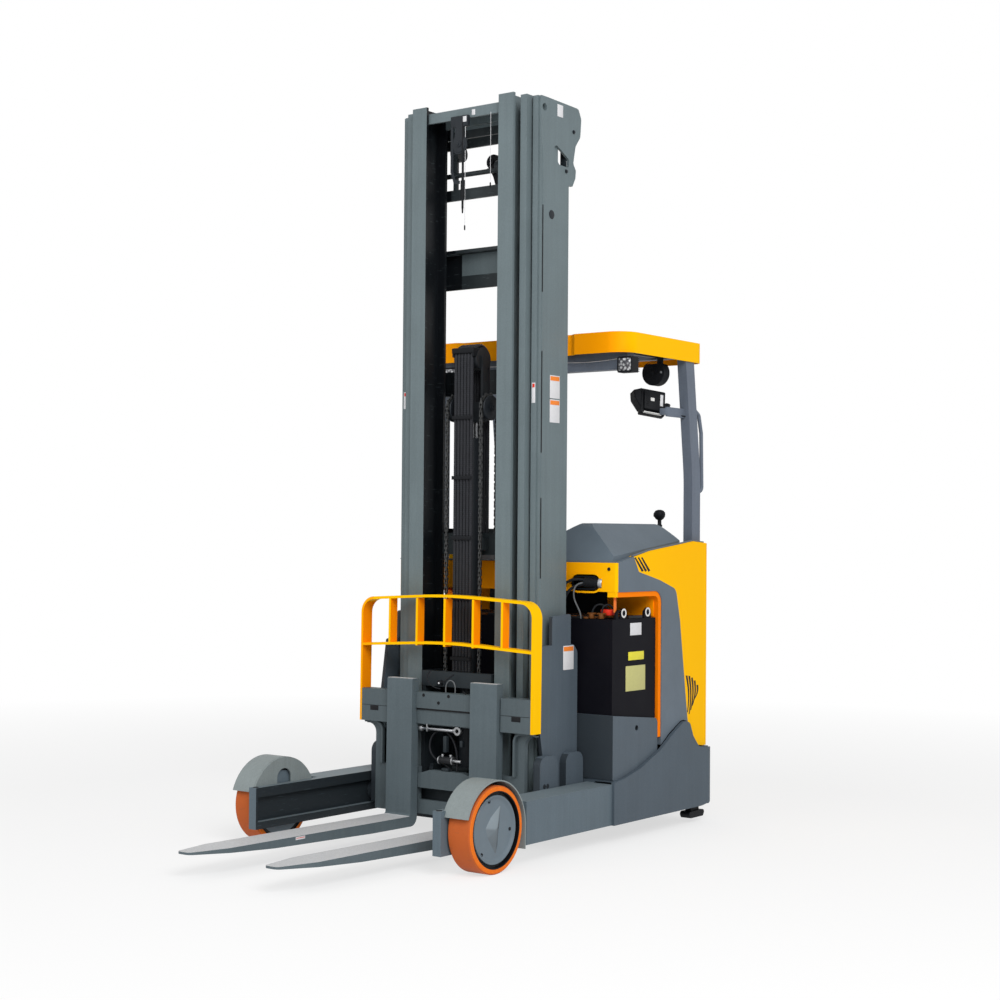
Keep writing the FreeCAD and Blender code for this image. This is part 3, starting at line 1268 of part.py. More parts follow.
def free_rod():
    """Free-lift rod and its head: two chain pulleys, and the hose pulley above them."""
    y = free_cylinder_y
    shaft = bar((0, y, free_foot_z + 30), ALONG_Z, free_rod_radius, chain_wheel_z - 40 - free_foot_z - 30)
    axle = bar((-chain_x - 20, y, chain_wheel_z), ALONG_X, 14, 2 * chain_x + 40)
    plate_x = mast_hose_x[-1] + mast_hose_radius + 11
    yoke = block((-plate_x - 1, plate_x + 1), (y - 28, y + 28), (chain_wheel_z - 60, chain_wheel_z + 25))
    plates = []
    for x in (-plate_x - 5, plate_x + 5):
        plates.append(block((x - 5, x + 5), (y - 18, y + 18), (chain_wheel_z - 60, hose_wheel_z + 13)))
    wheels = []
    for x in (-chain_x, chain_x):
        wheels.append(bar((x - chain_wheel_width / 2, y, chain_wheel_z), ALONG_X, chain_wheel_radius,
                          chain_wheel_width))
    hose_wheel = bar((-plate_x - 1, y, hose_wheel_z), ALONG_X, hose_wheel_radius, 2 * plate_x + 2)
    return union([shaft, axle, yoke] + plates + wheels + [hose_wheel])


def mast_hoses():
    """Hoses that run beside the chains: from the fork carriage over the hose pulley and down to the tie."""
    hoses = []
    y = free_cylinder_y
    bend = hose_wheel_radius + SEAT_GAP + mast_hose_radius
    for x in mast_hose_x:
        points = [(x, y - bend, carriage_top_z), (x, y - bend, hose_wheel_z + bend),
                  (x, y + bend, hose_wheel_z + bend), (x, y + bend, inner_tie_z[1])]
        hoses.append(tube_path(points, mast_hose_radius, bend - 0.01))
    return hoses


def lift_chains():
    """Free-lift chains: each runs from the fork carriage over its pulley to the inner mast's tie beam."""
    chains = []
    half = chain_band / 2
    y = free_cylinder_y
    near = chain_wheel_radius + 0.5
    far = near + chain_band
    for x in (-chain_x, chain_x):
        points = [(y - far, carriage_top_z), (y - far, chain_wheel_z + far, far),
                  (y + far, chain_wheel_z + far, far), (y + far, inner_tie_z[1]),
                  (y + near, inner_tie_z[1]), (y + near, chain_wheel_z + near, near),
                  (y - near, chain_wheel_z + near, near), (y - near, carriage_top_z)]
        chains.append(side_shape(points, (x - half, x + half)))
    return chains


# ================================================================ reach carriage
def reach_carriage():
    """Mast carriage: side plates, spacers to the mast, foot beam, roller housings and rollers."""
    low_y = outer_rail_front_y - 67
    rear = reach_rear_y
    tower = reach_top_z + reach_tower_rise
    tower_y = (outer_rail_front_y + 43, mast_plate_rear_y - 33)
    plate = side_shape([(low_y, reach_top_z - 238, 40), (low_y + 70, reach_bottom_z + 165, 20),
                        (low_y + 70, reach_bottom_z), (rear, reach_bottom_z),
                        (rear, reach_top_z - 30, 30), (rear - 30, reach_top_z, 20),
                        (tower_y[1], reach_top_z + 2), (tower_y[1], tower, 12), (tower_y[0], tower - 8, 12),
                        (tower_y[0], reach_top_z + 2), (outer_rail_front_y - 31, reach_top_z, 10)],
                       (reach_plate_x, reach_plate_outer_x))
    spacers = []
    for z in ((180, 240), (480, 560), (reach_top_z - 78, reach_top_z - 8)):
        spacers.append(block((mast_plate_outer_x, reach_plate_x),
                             (mast_plate_front_y + 44, mast_plate_rear_y - 22), z))
    foot_y = (mast_plate_front_y + 4, mast_plate_rear_y)
    foot = block((-reach_plate_outer_x, reach_plate_outer_x), foot_y, (mast_foot_z, outer_mast_bottom_z))
    foot_side = block((reach_plate_x, reach_plate_outer_x), foot_y, (mast_foot_z, reach_bottom_z + 5))
    housings = []
    rollers = []
    for y in (outer_rail_front_y - 21, mast_plate_rear_y - 47):
        housings.append(side_shape([(y - housing_half, reach_roller_z - 40), (y + housing_half, reach_roller_z - 40),
                                    (y + housing_half, housing_top_z, 40), (y - housing_half, housing_top_z, 40)],
                                   (reach_plate_outer_x, roller_housing_x)))
        rollers.append(bar((roller_housing_x, y, reach_roller_z), ALONG_X, 20, 12))
        rollers.append(bar((channel_inner_x + 2, y, reach_roller_z), ALONG_X, reach_roller_radius,
                           channel_web_x - channel_inner_x - 4))
    side = union([plate] + spacers + [foot_side] + housings + rollers)
    return union([foot] + both_sides(side))


def reach_barrel():
    """Reach cylinder's barrel, along the truck under the battery."""
    front = chassis_front_y
    length = reach_barrel_length
    tube = ring((0, front, reach_cylinder_z), ALONG_Y, reach_barrel_radius, reach_rod_radius + 6, length)
    gland = ring((0, front, reach_cylinder_z), ALONG_Y, reach_barrel_radius, reach_rod_radius + RUN_GAP, 30)
    end = bar((0, front + length, reach_cylinder_z), ALONG_Y, reach_barrel_radius, 14)
    return union([tube, gland, end])


def reach_rod():
    """Reach cylinder's rod, fixed to the outer mast's lowest beam."""
    return bar((0, mast_plate_rear_y, reach_cylinder_z), ALONG_Y, reach_rod_radius, reach_barrel_length)


# ================================================================ fork carriage
def carriage_frame():
    """Lift frame: roller plates in the inner rails, cross bars, rollers, and the pivot ears in front."""
    roller_y = inner_rail_front_y + rail_depth / 2
    inner_x = carriage_plate_x - carriage_plate
    bar_y = (carriage_bar_y, carriage_bar_y + carriage_bar)
    plate = block((inner_x, carriage_plate_x), (carriage_bar_y + 5, roller_y + 45), (140, carriage_top_z))
    rollers = []
    for z in carriage_roller_z:
        rollers.extend(both_sides(bar((carriage_plate_x - 9, roller_y, z), ALONG_X, 20, 22)))
        rollers.extend(both_sides(bar((inner_rail_x + 4, roller_y, z), ALONG_X, rail_roller_radius,
                                      carriage_roller_width)))
    top_bar = block((-carriage_plate_x, carriage_plate_x), bar_y, (carriage_top_z - 66, carriage_top_z))
    low_bar = block((-carriage_plate_x, carriage_plate_x), bar_y, (150, 200))
    anchor_end = free_cylinder_y - chain_wheel_radius
    anchor = block((chain_x - 12, chain_x + 12), (bar_y[1] - 1, anchor_end),
                   (carriage_top_z - 30, carriage_top_z))
    hose_anchor_end = free_cylinder_y - hose_wheel_radius
    hose_anchor = block((mast_hose_x[0] - 12, mast_hose_x[-1] + 12), (bar_y[1] - 1, hose_anchor_end),
                        (carriage_top_z - 26, carriage_top_z))
    pivot = tilt_pivot_z
    ear = side_shape([(carriage_bar_y, pivot - 50), (carriage_bar_y, pivot + 50), (tilt_pivot_y, pivot + 25, 10),
                      (tilt_pivot_y - 16, pivot, 15), (tilt_pivot_y, pivot - 25, 10)], pivot_ear_x)
    pin_hole = bar((pivot_ear_x[0] - 20, tilt_pivot_y, pivot), ALONG_X, tilt_pin_radius + RUN_GAP, 60)
    ear_plate = block(pivot_ear_x, (carriage_bar_y - 1, bar_y[1]), (pivot - 60, pivot + 60))
    ear = union([ear, ear_plate]).cut(pin_hole)
    return union(both_sides(plate) + [top_bar, low_bar, hose_anchor] + both_sides(ear) + both_sides(anchor)
                 + rollers)


def fork_frame():
    """Tilting fork frame: upper double bar, plate with two legs, lower bar and the pivot pin."""
    upper = block((-bar_half_width, bar_half_width), (hook_y, plate_front_y), (bar_split_z, bar_top_z))
    lower = block((-bar_half_width, bar_half_width), (hook_y, plate_front_y), (bar_bottom_z, bar_split_z))
    between = fork_centre_x - fork_width / 2
    end = block((fork_centre_x + fork_width / 2 + 7, bar_half_width), (bar_front_y, plate_front_y),
                (bar_bottom_z, bar_top_z))
    centre_top = block((-between, between), (bar_front_y + 6, plate_front_y), (bar_split_z + 3, bar_top_z))
    centre_low = block((-between, between), (bar_front_y + 14, plate_front_y),
                       (bar_bottom_z + 5, bar_split_z - 5))
    leg_x = (bar_half_width - fork_leg_x[1], bar_half_width - fork_leg_x[0])
    shoulder = bar_bottom_z - 14
    window_top = bar_bottom_z + 6
    plate = front_shape([(-bar_half_width, shoulder), (-leg_x[1], shoulder, 40), (-leg_x[1], 100),
                         (-leg_x[0], 100), (-leg_x[0], window_top, 25), (leg_x[0], window_top, 25),
                         (leg_x[0], 100), (leg_x[1], 100), (leg_x[1], shoulder, 40),
                         (bar_half_width, shoulder), (bar_half_width, bar_top_z),
                         (-bar_half_width, bar_top_z)], (plate_front_y, plate_rear_y))
    foot_bar = block((-leg_x[1], leg_x[1]), (plate_front_y, plate_rear_y), (100, 160))
    low_x = between - 2
    low_bar = front_shape([(-low_x, 213), (low_x, 213), (low_x, 272), (90, 292, 30), (-90, 292, 30),
                           (-low_x, 272)], (hook_y, plate_rear_y))
    tie_x = (pivot_ear_x[1] + 20, leg_x[0] + 7)
    side_ties = block(tie_x, (plate_front_y, plate_rear_y), (160, tilt_pivot_z + 50))
    lug_x = (pivot_ear_x[1] + 6, pivot_ear_x[1] + 24)
    lug = block(lug_x, (plate_rear_y - 2, tilt_pivot_y + 12), (tilt_pivot_z - 14, tilt_pivot_z + 14))
    pin = bar((pivot_ear_x[0] - 2, tilt_pivot_y, tilt_pivot_z), ALONG_X, tilt_pin_radius, 40)
    return union([upper, lower, centre_top, centre_low, plate, foot_bar, low_bar] + both_sides(end)
                 + both_sides(side_ties) + both_sides(lug) + both_sides(pin))


def fork(centre_x):
    """L-shaped fork: tall shank hooked on the fork frame and a long blade that thins towards its tip."""
    half = fork_width / 2
    top = fork_heel_top_z
    bottom = top - fork_thickness
    rear = hook_y
    blade = side_shape([(fork_tip_y, top), (fork_tip_y, top - fork_tip_thickness),
                        (fork_tip_y + 420, bottom + 12), (fork_front_y - 250, bottom),
                        (rear, bottom, 40), (rear, shank_top_z, 6), (fork_front_y, shank_top_z, 6),
                        (fork_front_y, top, 12)], (centre_x - half, centre_x + half))
    plan = plan_shape([(centre_x - half, fork_tip_y + 180), (centre_x - half + 38, fork_tip_y, 24),
                       (centre_x + half - 38, fork_tip_y, 24), (centre_x + half, fork_tip_y + 180),
                       (centre_x + half, rear + 10), (centre_x - half, rear + 10)], (0, 800))
    return blade.common(plan)


def load_backrest():
    """Load backrest of flat strips: side posts, arched top and middle bars and upright bars between."""
    x = bar_half_width + backrest_strip
    y = (bar_front_y, bar_front_y + backrest_depth)
    top = backrest_top_z
    rise = backrest_arch
    outer = front_shape([(-x, bar_bottom_z), (x, bar_bottom_z), (x, top, 70), (0, top + rise, backrest_arch_radius),
                         (-x, top, 70)], y)
    inner_x = x - backrest_strip
    hollow = front_shape([(-inner_x, bar_bottom_z - 5), (inner_x, bar_bottom_z - 5),
                          (inner_x, top - backrest_strip, 59), (0, top + rise - backrest_strip, backrest_arch_radius),
                          (-inner_x, top - backrest_strip, 59)], y)
    hoop = outer.cut(hollow)
    mid = front_shape([(-inner_x, backrest_mid_z), (inner_x, backrest_mid_z),
                       (inner_x, backrest_mid_z + backrest_strip),
                       (0, backrest_mid_z + backrest_strip + rise, backrest_arch_radius),
                       (-inner_x, backrest_mid_z + backrest_strip)], y)
    below = front_shape([(-inner_x, backrest_mid_z - 20), (inner_x, backrest_mid_z - 20),
                         (inner_x, backrest_mid_z), (0, backrest_mid_z + rise, backrest_arch_radius),
                         (-inner_x, backrest_mid_z)], y)
    mid = mid.cut(below)
    uprights = []
    pitch = 2 * inner_x / (backrest_bar_count + 1)
    for index in range(backrest_bar_count):
        centre = -inner_x + pitch * (index + 1)
        uprights.append(block((centre - backrest_strip / 2, centre + backrest_strip / 2),
                              (y[0], y[0] + backrest_bar_depth), (backrest_mid_z + 12, top + 4)))
    return union([hoop, mid] + uprights)


# ================================================================ build
def main():
    os.makedirs("parts", exist_ok=True)
    sides = (("left", lambda shape: shape), ("right", mirrored))
    for side, place in sides:
        save("straddle_leg_" + side, [place(straddle_leg())])
        save("fender_" + side, [place(fender())])
        save("load_tyre_" + side, [place(load_wheel_tyre())])
        save("load_hub_" + side, [place(load_wheel_hub())])
        save("side_cover_" + side, [place(side_cover())])
        save("side_panel_" + side, [place(side_panel())])
    save("chassis_frame", [chassis_frame()])
    save("rear_feet", rear_feet())
    save("drive_unit", [drive_unit()])
    save("drive_motor", [drive_motor()])
    save("drive_wheel", [drive_wheel()])
    save("battery", [battery()])
    save("battery_tray", [battery_tray()])
    save("front_cowl", [front_cowl()])
    save("hood", [hood()])
    save("hose_sleeve", [hose_sleeve()])
    save("cowl_hose_upper", [cowl_hose(cowl_hose_upper_route)])
    save("cowl_hose_lower", [cowl_hose(cowl_hose_lower_route)])
    save("cowl_cable", [cowl_cable()])
    save("rear_panel", rear_panel())
    save("console", console())
    save("steering_wheel", [steering_wheel()])
    save("seat_base", [seat_base()])
    save("seat_cushion", [seat_cushion()])
    save("seat_back", [seat_back()])
    save("armrest", [armrest()])
    save("guard_roof", [guard_roof()])
    save("guard_frame", [guard_frame()])
    save("grab_handle", [grab_handle()])
    save("monitor", [monitor()])
    save("cab_fan", [cab_fan()])
    save("work_light_left", [work_light(guard_half_width - 7, front_beam_half - 7)])
    save("work_light_right", [work_light(167 - guard_half_width, 167 - guard_half_width)])
    save("outer_mast", [outer_mast()])
    save("lift_barrels", lift_barrels())
    save("lift_rods", lift_rods())
    save("middle_mast", [middle_mast()])
    save("inner_mast", [inner_mast()])
    save("free_barrel", [free_barrel()])
    save("free_rod", [free_rod()])
    save("lift_chains", lift_chains())
    save("mast_hoses", mast_hoses())
    save("reach_carriage", [reach_carriage()])
    save("reach_barrel", [reach_barrel()])
    save("reach_rod", [reach_rod()])
    save("carriage_frame", [carriage_frame()])
    save("fork_frame", [tilted(fork_frame())])
    save("fork_left", [tilted(fork(fork_centre_x))])
    save("fork_right", [tilted(fork(-fork_centre_x))])
    save("load_backrest", [tilted(load_backrest())])
    save("carriage_wire", [tilted(carriage_wire())])
    save("carriage_hose", [tilted(carriage_hose())])


main()
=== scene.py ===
"""Looks of a straddle-leg reach truck: finishes, fittings, soft seat, hoses, studio and camera."""

import math

import bmesh
import bpy
from mathutils import Matrix, Vector


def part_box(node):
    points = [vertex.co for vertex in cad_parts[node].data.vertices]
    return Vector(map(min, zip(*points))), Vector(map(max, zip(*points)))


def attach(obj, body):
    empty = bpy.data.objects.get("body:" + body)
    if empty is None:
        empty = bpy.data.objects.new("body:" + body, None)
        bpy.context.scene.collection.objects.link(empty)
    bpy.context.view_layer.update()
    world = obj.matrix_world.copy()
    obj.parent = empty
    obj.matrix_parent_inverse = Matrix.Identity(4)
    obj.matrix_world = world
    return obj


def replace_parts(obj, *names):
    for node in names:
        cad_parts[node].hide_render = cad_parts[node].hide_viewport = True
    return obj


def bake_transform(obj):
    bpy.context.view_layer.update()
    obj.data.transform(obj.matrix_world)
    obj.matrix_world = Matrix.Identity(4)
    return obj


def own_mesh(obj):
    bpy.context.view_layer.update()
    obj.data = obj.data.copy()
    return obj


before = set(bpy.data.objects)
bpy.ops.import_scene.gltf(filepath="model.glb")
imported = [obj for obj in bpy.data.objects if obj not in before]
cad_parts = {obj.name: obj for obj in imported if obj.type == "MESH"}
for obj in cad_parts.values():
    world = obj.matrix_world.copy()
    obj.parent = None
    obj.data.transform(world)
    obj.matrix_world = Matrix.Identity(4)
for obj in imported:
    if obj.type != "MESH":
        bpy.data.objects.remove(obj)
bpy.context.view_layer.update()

X = Vector((1, 0, 0))
Y = Vector((0, 1, 0))
Z = Vector((0, 0, 1))
MM = 0.001
SIDES = (("left", 1), ("right", -1))


# ------------------------------------------------------------------ places read from the frame
def low(node):
    """Lowest corner of a frame piece."""
    return Vector(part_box(node)[0])


def high(node):
    """Highest corner of a frame piece."""
    return Vector(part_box(node)[1])


def middle(node):
    """Centre of a frame piece's box."""
    return (low(node) + high(node)) / 2


wheel = middle("load_hub_left")
axle_y = wheel.y


def spot(x, y, z):
    """Point given in millimetres from the load wheels' axle line, the centre plane and the floor."""
    return Vector((x * MM, y * MM + axle_y, z * MM))


TILT = math.radians(-0.6)
TILT_PIN = (520.0, 250.0)


def tilted(x, y, z):
    """Point of the fork frame at its resting tilt, millimetres as for spot."""
    away_y = y - TILT_PIN[0]
    away_z = z - TILT_PIN[1]
    return spot(x, TILT_PIN[0] + away_y * math.cos(TILT) - away_z * math.sin(TILT),
                TILT_PIN[1] + away_y * math.sin(TILT) + away_z * math.cos(TILT))


def at(place):
    """A place as a vector in metres; three plain numbers are taken as spot takes them."""
    return place if isinstance(place, Vector) else spot(*place)


def turned_to(axis):
    """Rotation that brings +Z onto an axis."""
    return Z.rotation_difference(Vector(axis)).to_matrix().to_4x4()


# ------------------------------------------------------------------ mesh helpers
def soften(bm, edges, width, segments=2):
    """Rounds edges, each of them once."""
    bmesh.ops.bevel(bm, geom=list(dict.fromkeys(edges)), offset=width, affect="EDGES", segments=segments,
                    profile=0.5, material=-1)


def settled(obj, finish, body):
    """Links an object, gives it its finish, and lets it ride on a body."""
    obj.data.materials.append(finish)
    bpy.context.collection.objects.link(obj)
    if body:
        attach(obj, body)
    return obj


class Shape:
    """Mesh of one piece in the making. A place is a vector in metres, or three numbers as spot takes them;
    every other length is in metres."""

    def __init__(self):
        self.bm = bmesh.new()

    def block(self, lowest, highest, edge=0.0):
        """Box between two corners with softened edges."""
        lowest, highest = at(lowest), at(highest)
        verts = bmesh.ops.create_cube(self.bm, size=1.0)["verts"]
        bmesh.ops.scale(self.bm, vec=highest - lowest, verts=verts)
        bmesh.ops.translate(self.bm, vec=(lowest + highest) / 2, verts=verts)
        if edge > 0:
            soften(self.bm, [e for v in verts for e in v.link_edges], edge)
        return self

    def pair(self, lowest, highest, edge=0.0):
        """A block given on the left side, and the same block mirrored to the right side."""
        (x0, y0, z0), (x1, y1, z1) = lowest, highest
        self.block((-x1, y0, z0), (-x0, y1, z1), edge)
        return self.block(lowest, highest, edge)

    def disc(self, centre, axis, radius, depth, edge=0.0, sides=32, end_radius=None):
        """Disc, pin or hex head centred on a point, with softened rims."""
        verts = bmesh.ops.create_cone(self.bm, cap_ends=True, segments=sides, radius1=radius,
                                      radius2=radius if end_radius is None else end_radius, depth=depth)["verts"]
        if edge > 0:
            before = set(self.bm.verts) - set(verts)
            caps = [f for v in verts for f in v.link_faces if len(f.verts) == sides]
            soften(self.bm, [e for f in caps for e in f.edges], edge)
            verts = self.since(before)
        return self.moved(Matrix.Translation(at(centre)) @ turned_to(axis), verts)

    def since(self, before):
        """Vertices that weren't there before."""
        return [v for v in self.bm.verts if v not in before]

    def moved(self, matrix, verts):
        """Moves vertices by a matrix."""
        bmesh.ops.transform(self.bm, matrix=matrix, verts=verts)
        return self

    def lathe(self, centre, axis, profile, steps=48):
        """Body of revolution from (radius, height) points that run up the axis."""
        before = set(self.bm.verts)
        verts = [self.bm.verts.new((radius, 0, height)) for radius, height in profile]
        edges = [self.bm.edges.new(ends) for ends in zip(verts, verts[1:])]
        bmesh.ops.spin(self.bm, geom=verts + edges, cent=(0, 0, 0), axis=Z, angle=2 * math.pi, steps=steps,
                       use_merge=True, use_duplicate=False)
        bmesh.ops.remove_doubles(self.bm, verts=self.since(before), dist=1e-6)
        made = self.since(before)
        faces = dict.fromkeys(f for v in made for f in v.link_faces)
        bmesh.ops.recalc_face_normals(self.bm, faces=list(faces))
        return self.moved(Matrix.Translation(at(centre)) @ turned_to(axis), made)

    def sheet(self, points, thickness, edge=0.0):
        """Flat outline through points in space, thickened along its own normal."""
        face = self.bm.faces.new([self.bm.verts.new(at(p)) for p in points])
        face.normal_update()
        push = face.normal * thickness
        made = bmesh.ops.extrude_face_region(self.bm, geom=[face])
        top = [g for g in made["geom"] if isinstance(g, bmesh.types.BMVert)]
        bmesh.ops.translate(self.bm, vec=push, verts=top)
        face.normal_flip()
        if edge > 0:
            soften(self.bm, [e for v in top for e in v.link_edges if all(u in top for u in e.verts)], edge, 1)
        return self

    def bolt(self, centre, axis, across=0.019, proud=0.008):
        """Hex head on a washer; the axis points out of the surface."""
        centre, axis = at(centre), Vector(axis).normalized()
        self.disc(centre + axis * 0.001, axis, across * 0.72, 0.002, 0.0005, 24)
        return self.disc(centre + axis * (0.002 + proud / 2), axis, across * 0.577, proud, 0.0012, 6)

    def bridged(self, rings):
        """Skin between closed rings of points, one after the other."""
        count = len(rings[0])
        loops = []
        for ring in rings:
            verts = [self.bm.verts.new(p) for p in ring]
            loops.append([self.bm.edges.new((verts[i], verts[(i + 1) % count])) for i in range(count)])
        for first, second in zip(loops, loops[1:]):
            bmesh.ops.bridge_loops(self.bm, edges=first + second)
        return self.outwards()

    def outwards(self):
        """Turns every face outwards."""
        bmesh.ops.recalc_face_normals(self.bm, faces=self.bm.faces[:])
        return self

    def done(self, name, finish, slot, body="chassis", sharp=35):
        """Turns the mesh into a piece of the truck that rides on a body. It is shaded smooth, with edges over
        the angle sharp, in degrees, kept sharp; at 0 its faces stay flat."""
        mesh = bpy.data.meshes.new(name)
        self.bm.to_mesh(mesh)
        self.bm.free()
        if sharp:
            mesh.shade_smooth()
            mesh.set_sharp_from_angle(angle=math.radians(sharp))
        return settled(bpy.data.objects.new(name, mesh), finish, body)


def line(name, points, diameter, body, finish):
    """Round line on one smooth curve."""
    curve = bpy.data.curves.new(name, "CURVE")
    curve.dimensions = "3D"
    spline = curve.splines.new("NURBS")
    spline.points.add(len(points) - 1)
    for point, place in zip(spline.points, points):
        point.co = (*place, 1)
    spline.order_u = 3
    spline.use_endpoint_u = True
    curve.bevel_depth = diameter / 2
    curve.bevel_resolution = 4
    curve.resolution_u = 10
    curve.use_fill_caps = True
    return settled(bpy.data.objects.new(name, curve), finish, body)


# ------------------------------------------------------------------ material helpers
def sums(operation, swapped=False):
    """Method that adds one Math node, with the other value first where swapped."""
    if swapped:
        return lambda value, other: value.maths(operation, other, value)
    return lambda value, *others: value.maths(operation, value, *others)


class Value:
    """Output of a material node; arithmetic on it adds Math nodes."""

    def __init__(self, tree, socket):
        self.tree = tree
        self.socket = socket

    def maths(self, operation, *values):
        return self.tree.node("ShaderNodeMath", {"operation": operation}, dict(enumerate(values)))

    __add__ = sums("ADD")
    __radd__ = sums("ADD", True)
    __sub__ = sums("SUBTRACT")
    __rsub__ = sums("SUBTRACT", True)
    __mul__ = sums("MULTIPLY")
    __rmul__ = sums("MULTIPLY", True)
    __pow__ = sums("POWER")
    __gt__ = sums("GREATER_THAN")
    __lt__ = sums("LESS_THAN")
    __abs__ = sums("ABSOLUTE")
    least = sums("MINIMUM")
    most = sums("MAXIMUM")
    wave = sums("SINE")

    def within(self, start=0.0, end=1.0, first=0.0, last=1.0):
        """first to last as the value goes from start to end, held outside them."""
        return self.tree.node("ShaderNodeMapRange", {"clamp": True},
                              {"Value": self, "From Min": start, "From Max": end, "To Min": first, "To Max": last})

    def between(self, start, end):
        """1 where the value lies between two limits."""
        return (self > start) * (self < end)


def scaled(tone, share):
    """A tone made darker or lighter."""
    return tuple(min(1.0, c * share) for c in tone)


class Tree:
    """Node tree of the world or of a material, and the one way to add nodes to it."""

    def __init__(self, owner):
        owner.use_nodes = True
        self.tree = owner.node_tree

    def node(self, kind, settings=None, inputs=None, output=0):
        """Adds a node: its settings first, then the values or links of its sockets."""
        made = self.tree.nodes.new(kind)
        for key, value in (settings or {}).items():
            setattr(made, key, value)
        for key, value in (inputs or {}).items():
            socket = made.inputs[key]
            if isinstance(value, Value):
                self.tree.links.new(value.socket, socket)
            else:
                socket.default_value = value
        return Value(self, made.outputs[output]) if made.outputs else None

    def place(self):
        """Position in the truck's frame, metres."""
        return self.node("ShaderNodeTexCoord", output="Object")

    def ray(self, kind):
        """1 for rays of a kind."""
        return self.node("ShaderNodeLightPath", output="Is %s Ray" % kind)

    def blended(self, output, share, first, second):
        """Sends a mix of two shaders to an output node."""
        self.node(output, None, {0: self.node("ShaderNodeMixShader", None, {0: share, 1: first, 2: second})})


class Coat(Tree):
    """One material: its tree, its shader and the ways to add to them."""

    def __init__(self, name, **fixed):
        self.material = bpy.data.materials.new(name)
        super().__init__(self.material)
        self.shader = self.tree.nodes["Principled BSDF"]
        for socket, value in {"Metallic": 0.0, **fixed}.items():
            self.shader.inputs[socket.replace("_", " ")].default_value = value

    def apart(self, value):
        """The three components of a vector."""
        made = self.node("ShaderNodeSeparateXYZ", None, {0: value})
        return [Value(self, socket) for socket in made.socket.node.outputs]

    def axes(self):
        """The three coordinates of the place."""
        return self.apart(self.place())

    def facing(self):
        """The three components of the surface's normal."""
        return self.apart(self.node("ShaderNodeNewGeometry", output="Normal"))

    def stretched(self, scale):
        """Position with its axes stretched."""
        return self.node("ShaderNodeMapping", None, {"Vector": self.place(), "Scale": scale})

    def noise(self, scale, detail=3.0, rough=0.55, stretch=(1, 1, 1)):
        """Noise between 0 and 1 on the piece's own coordinates."""
        return self.node("ShaderNodeTexNoise", None, {"Vector": self.stretched(stretch), "Scale": scale,
                                                      "Detail": detail, "Roughness": rough})

    def cells(self, scale, stretch=(1, 1, 1)):
        """Voronoi cells on the piece's own coordinates."""
        return self.node("ShaderNodeTexVoronoi", None, {"Vector": self.stretched(stretch), "Scale": scale})

    def from_axle(self):
        """Distance from the load wheels' axle line."""
        x, y, z = self.axes()
        return ((y - wheel.y) ** 2.0 + (z - wheel.z) ** 2.0) ** 0.5

    def tint(self, share, first, second):
        """Colour between two colours."""
        first, second = (c if isinstance(c, Value) else (*c, 1) for c in (first, second))
        return self.node("ShaderNodeMix", {"data_type": "RGBA"}, {0: share, 6: first, 7: second}, output=2)

    def bump(self, height, distance, strength):
        """Relief from a height; a number is the scale of a fine noise."""
        if not isinstance(height, Value):
            height = self.noise(height, 1.0, 0.5)
        return self.node("ShaderNodeBump", None, {"Height": height, "Distance": distance, "Strength": strength})

    def made(self, colour, rough, relief, **others):
        """The finished material: its colour, roughness and relief (height, distance, strength) go to the shader."""
        feeds = {"Base Color": colour, "Roughness": rough, "Normal": self.bump(*relief), **others}
        for socket, value in feeds.items():
            self.tree.links.new(value.socket, self.shader.inputs[socket])
        return self.material


# ------------------------------------------------------------------ finishes
PAINT_RELIEF = (420.0, 0.00012, 0.35)
CAP_INSET = 0.012
wheel_radius = high("load_tyre_left").z - wheel.z
cap_radius = high("load_hub_left").z - wheel.z - CAP_INSET
# Bounds of the places painted black, partly greased and partly painted shade, in metres: reaches from the centre
# plane, the face of the rails' channels, and the heights between which the rearmost beam gets no painted shade.
SIDE_PLATES = 0.80
BEAM_END = 0.1955
CHANNEL_END = 0.345
CHANNEL_FACE = 0.199
BEAM_WITHOUT_SHADE = (2.465, 2.60)
# The free lift's chromed rod and the foot of the yoke above it.
ROD_RADIUS = 0.0285
YOKE_FOOT = 1.788


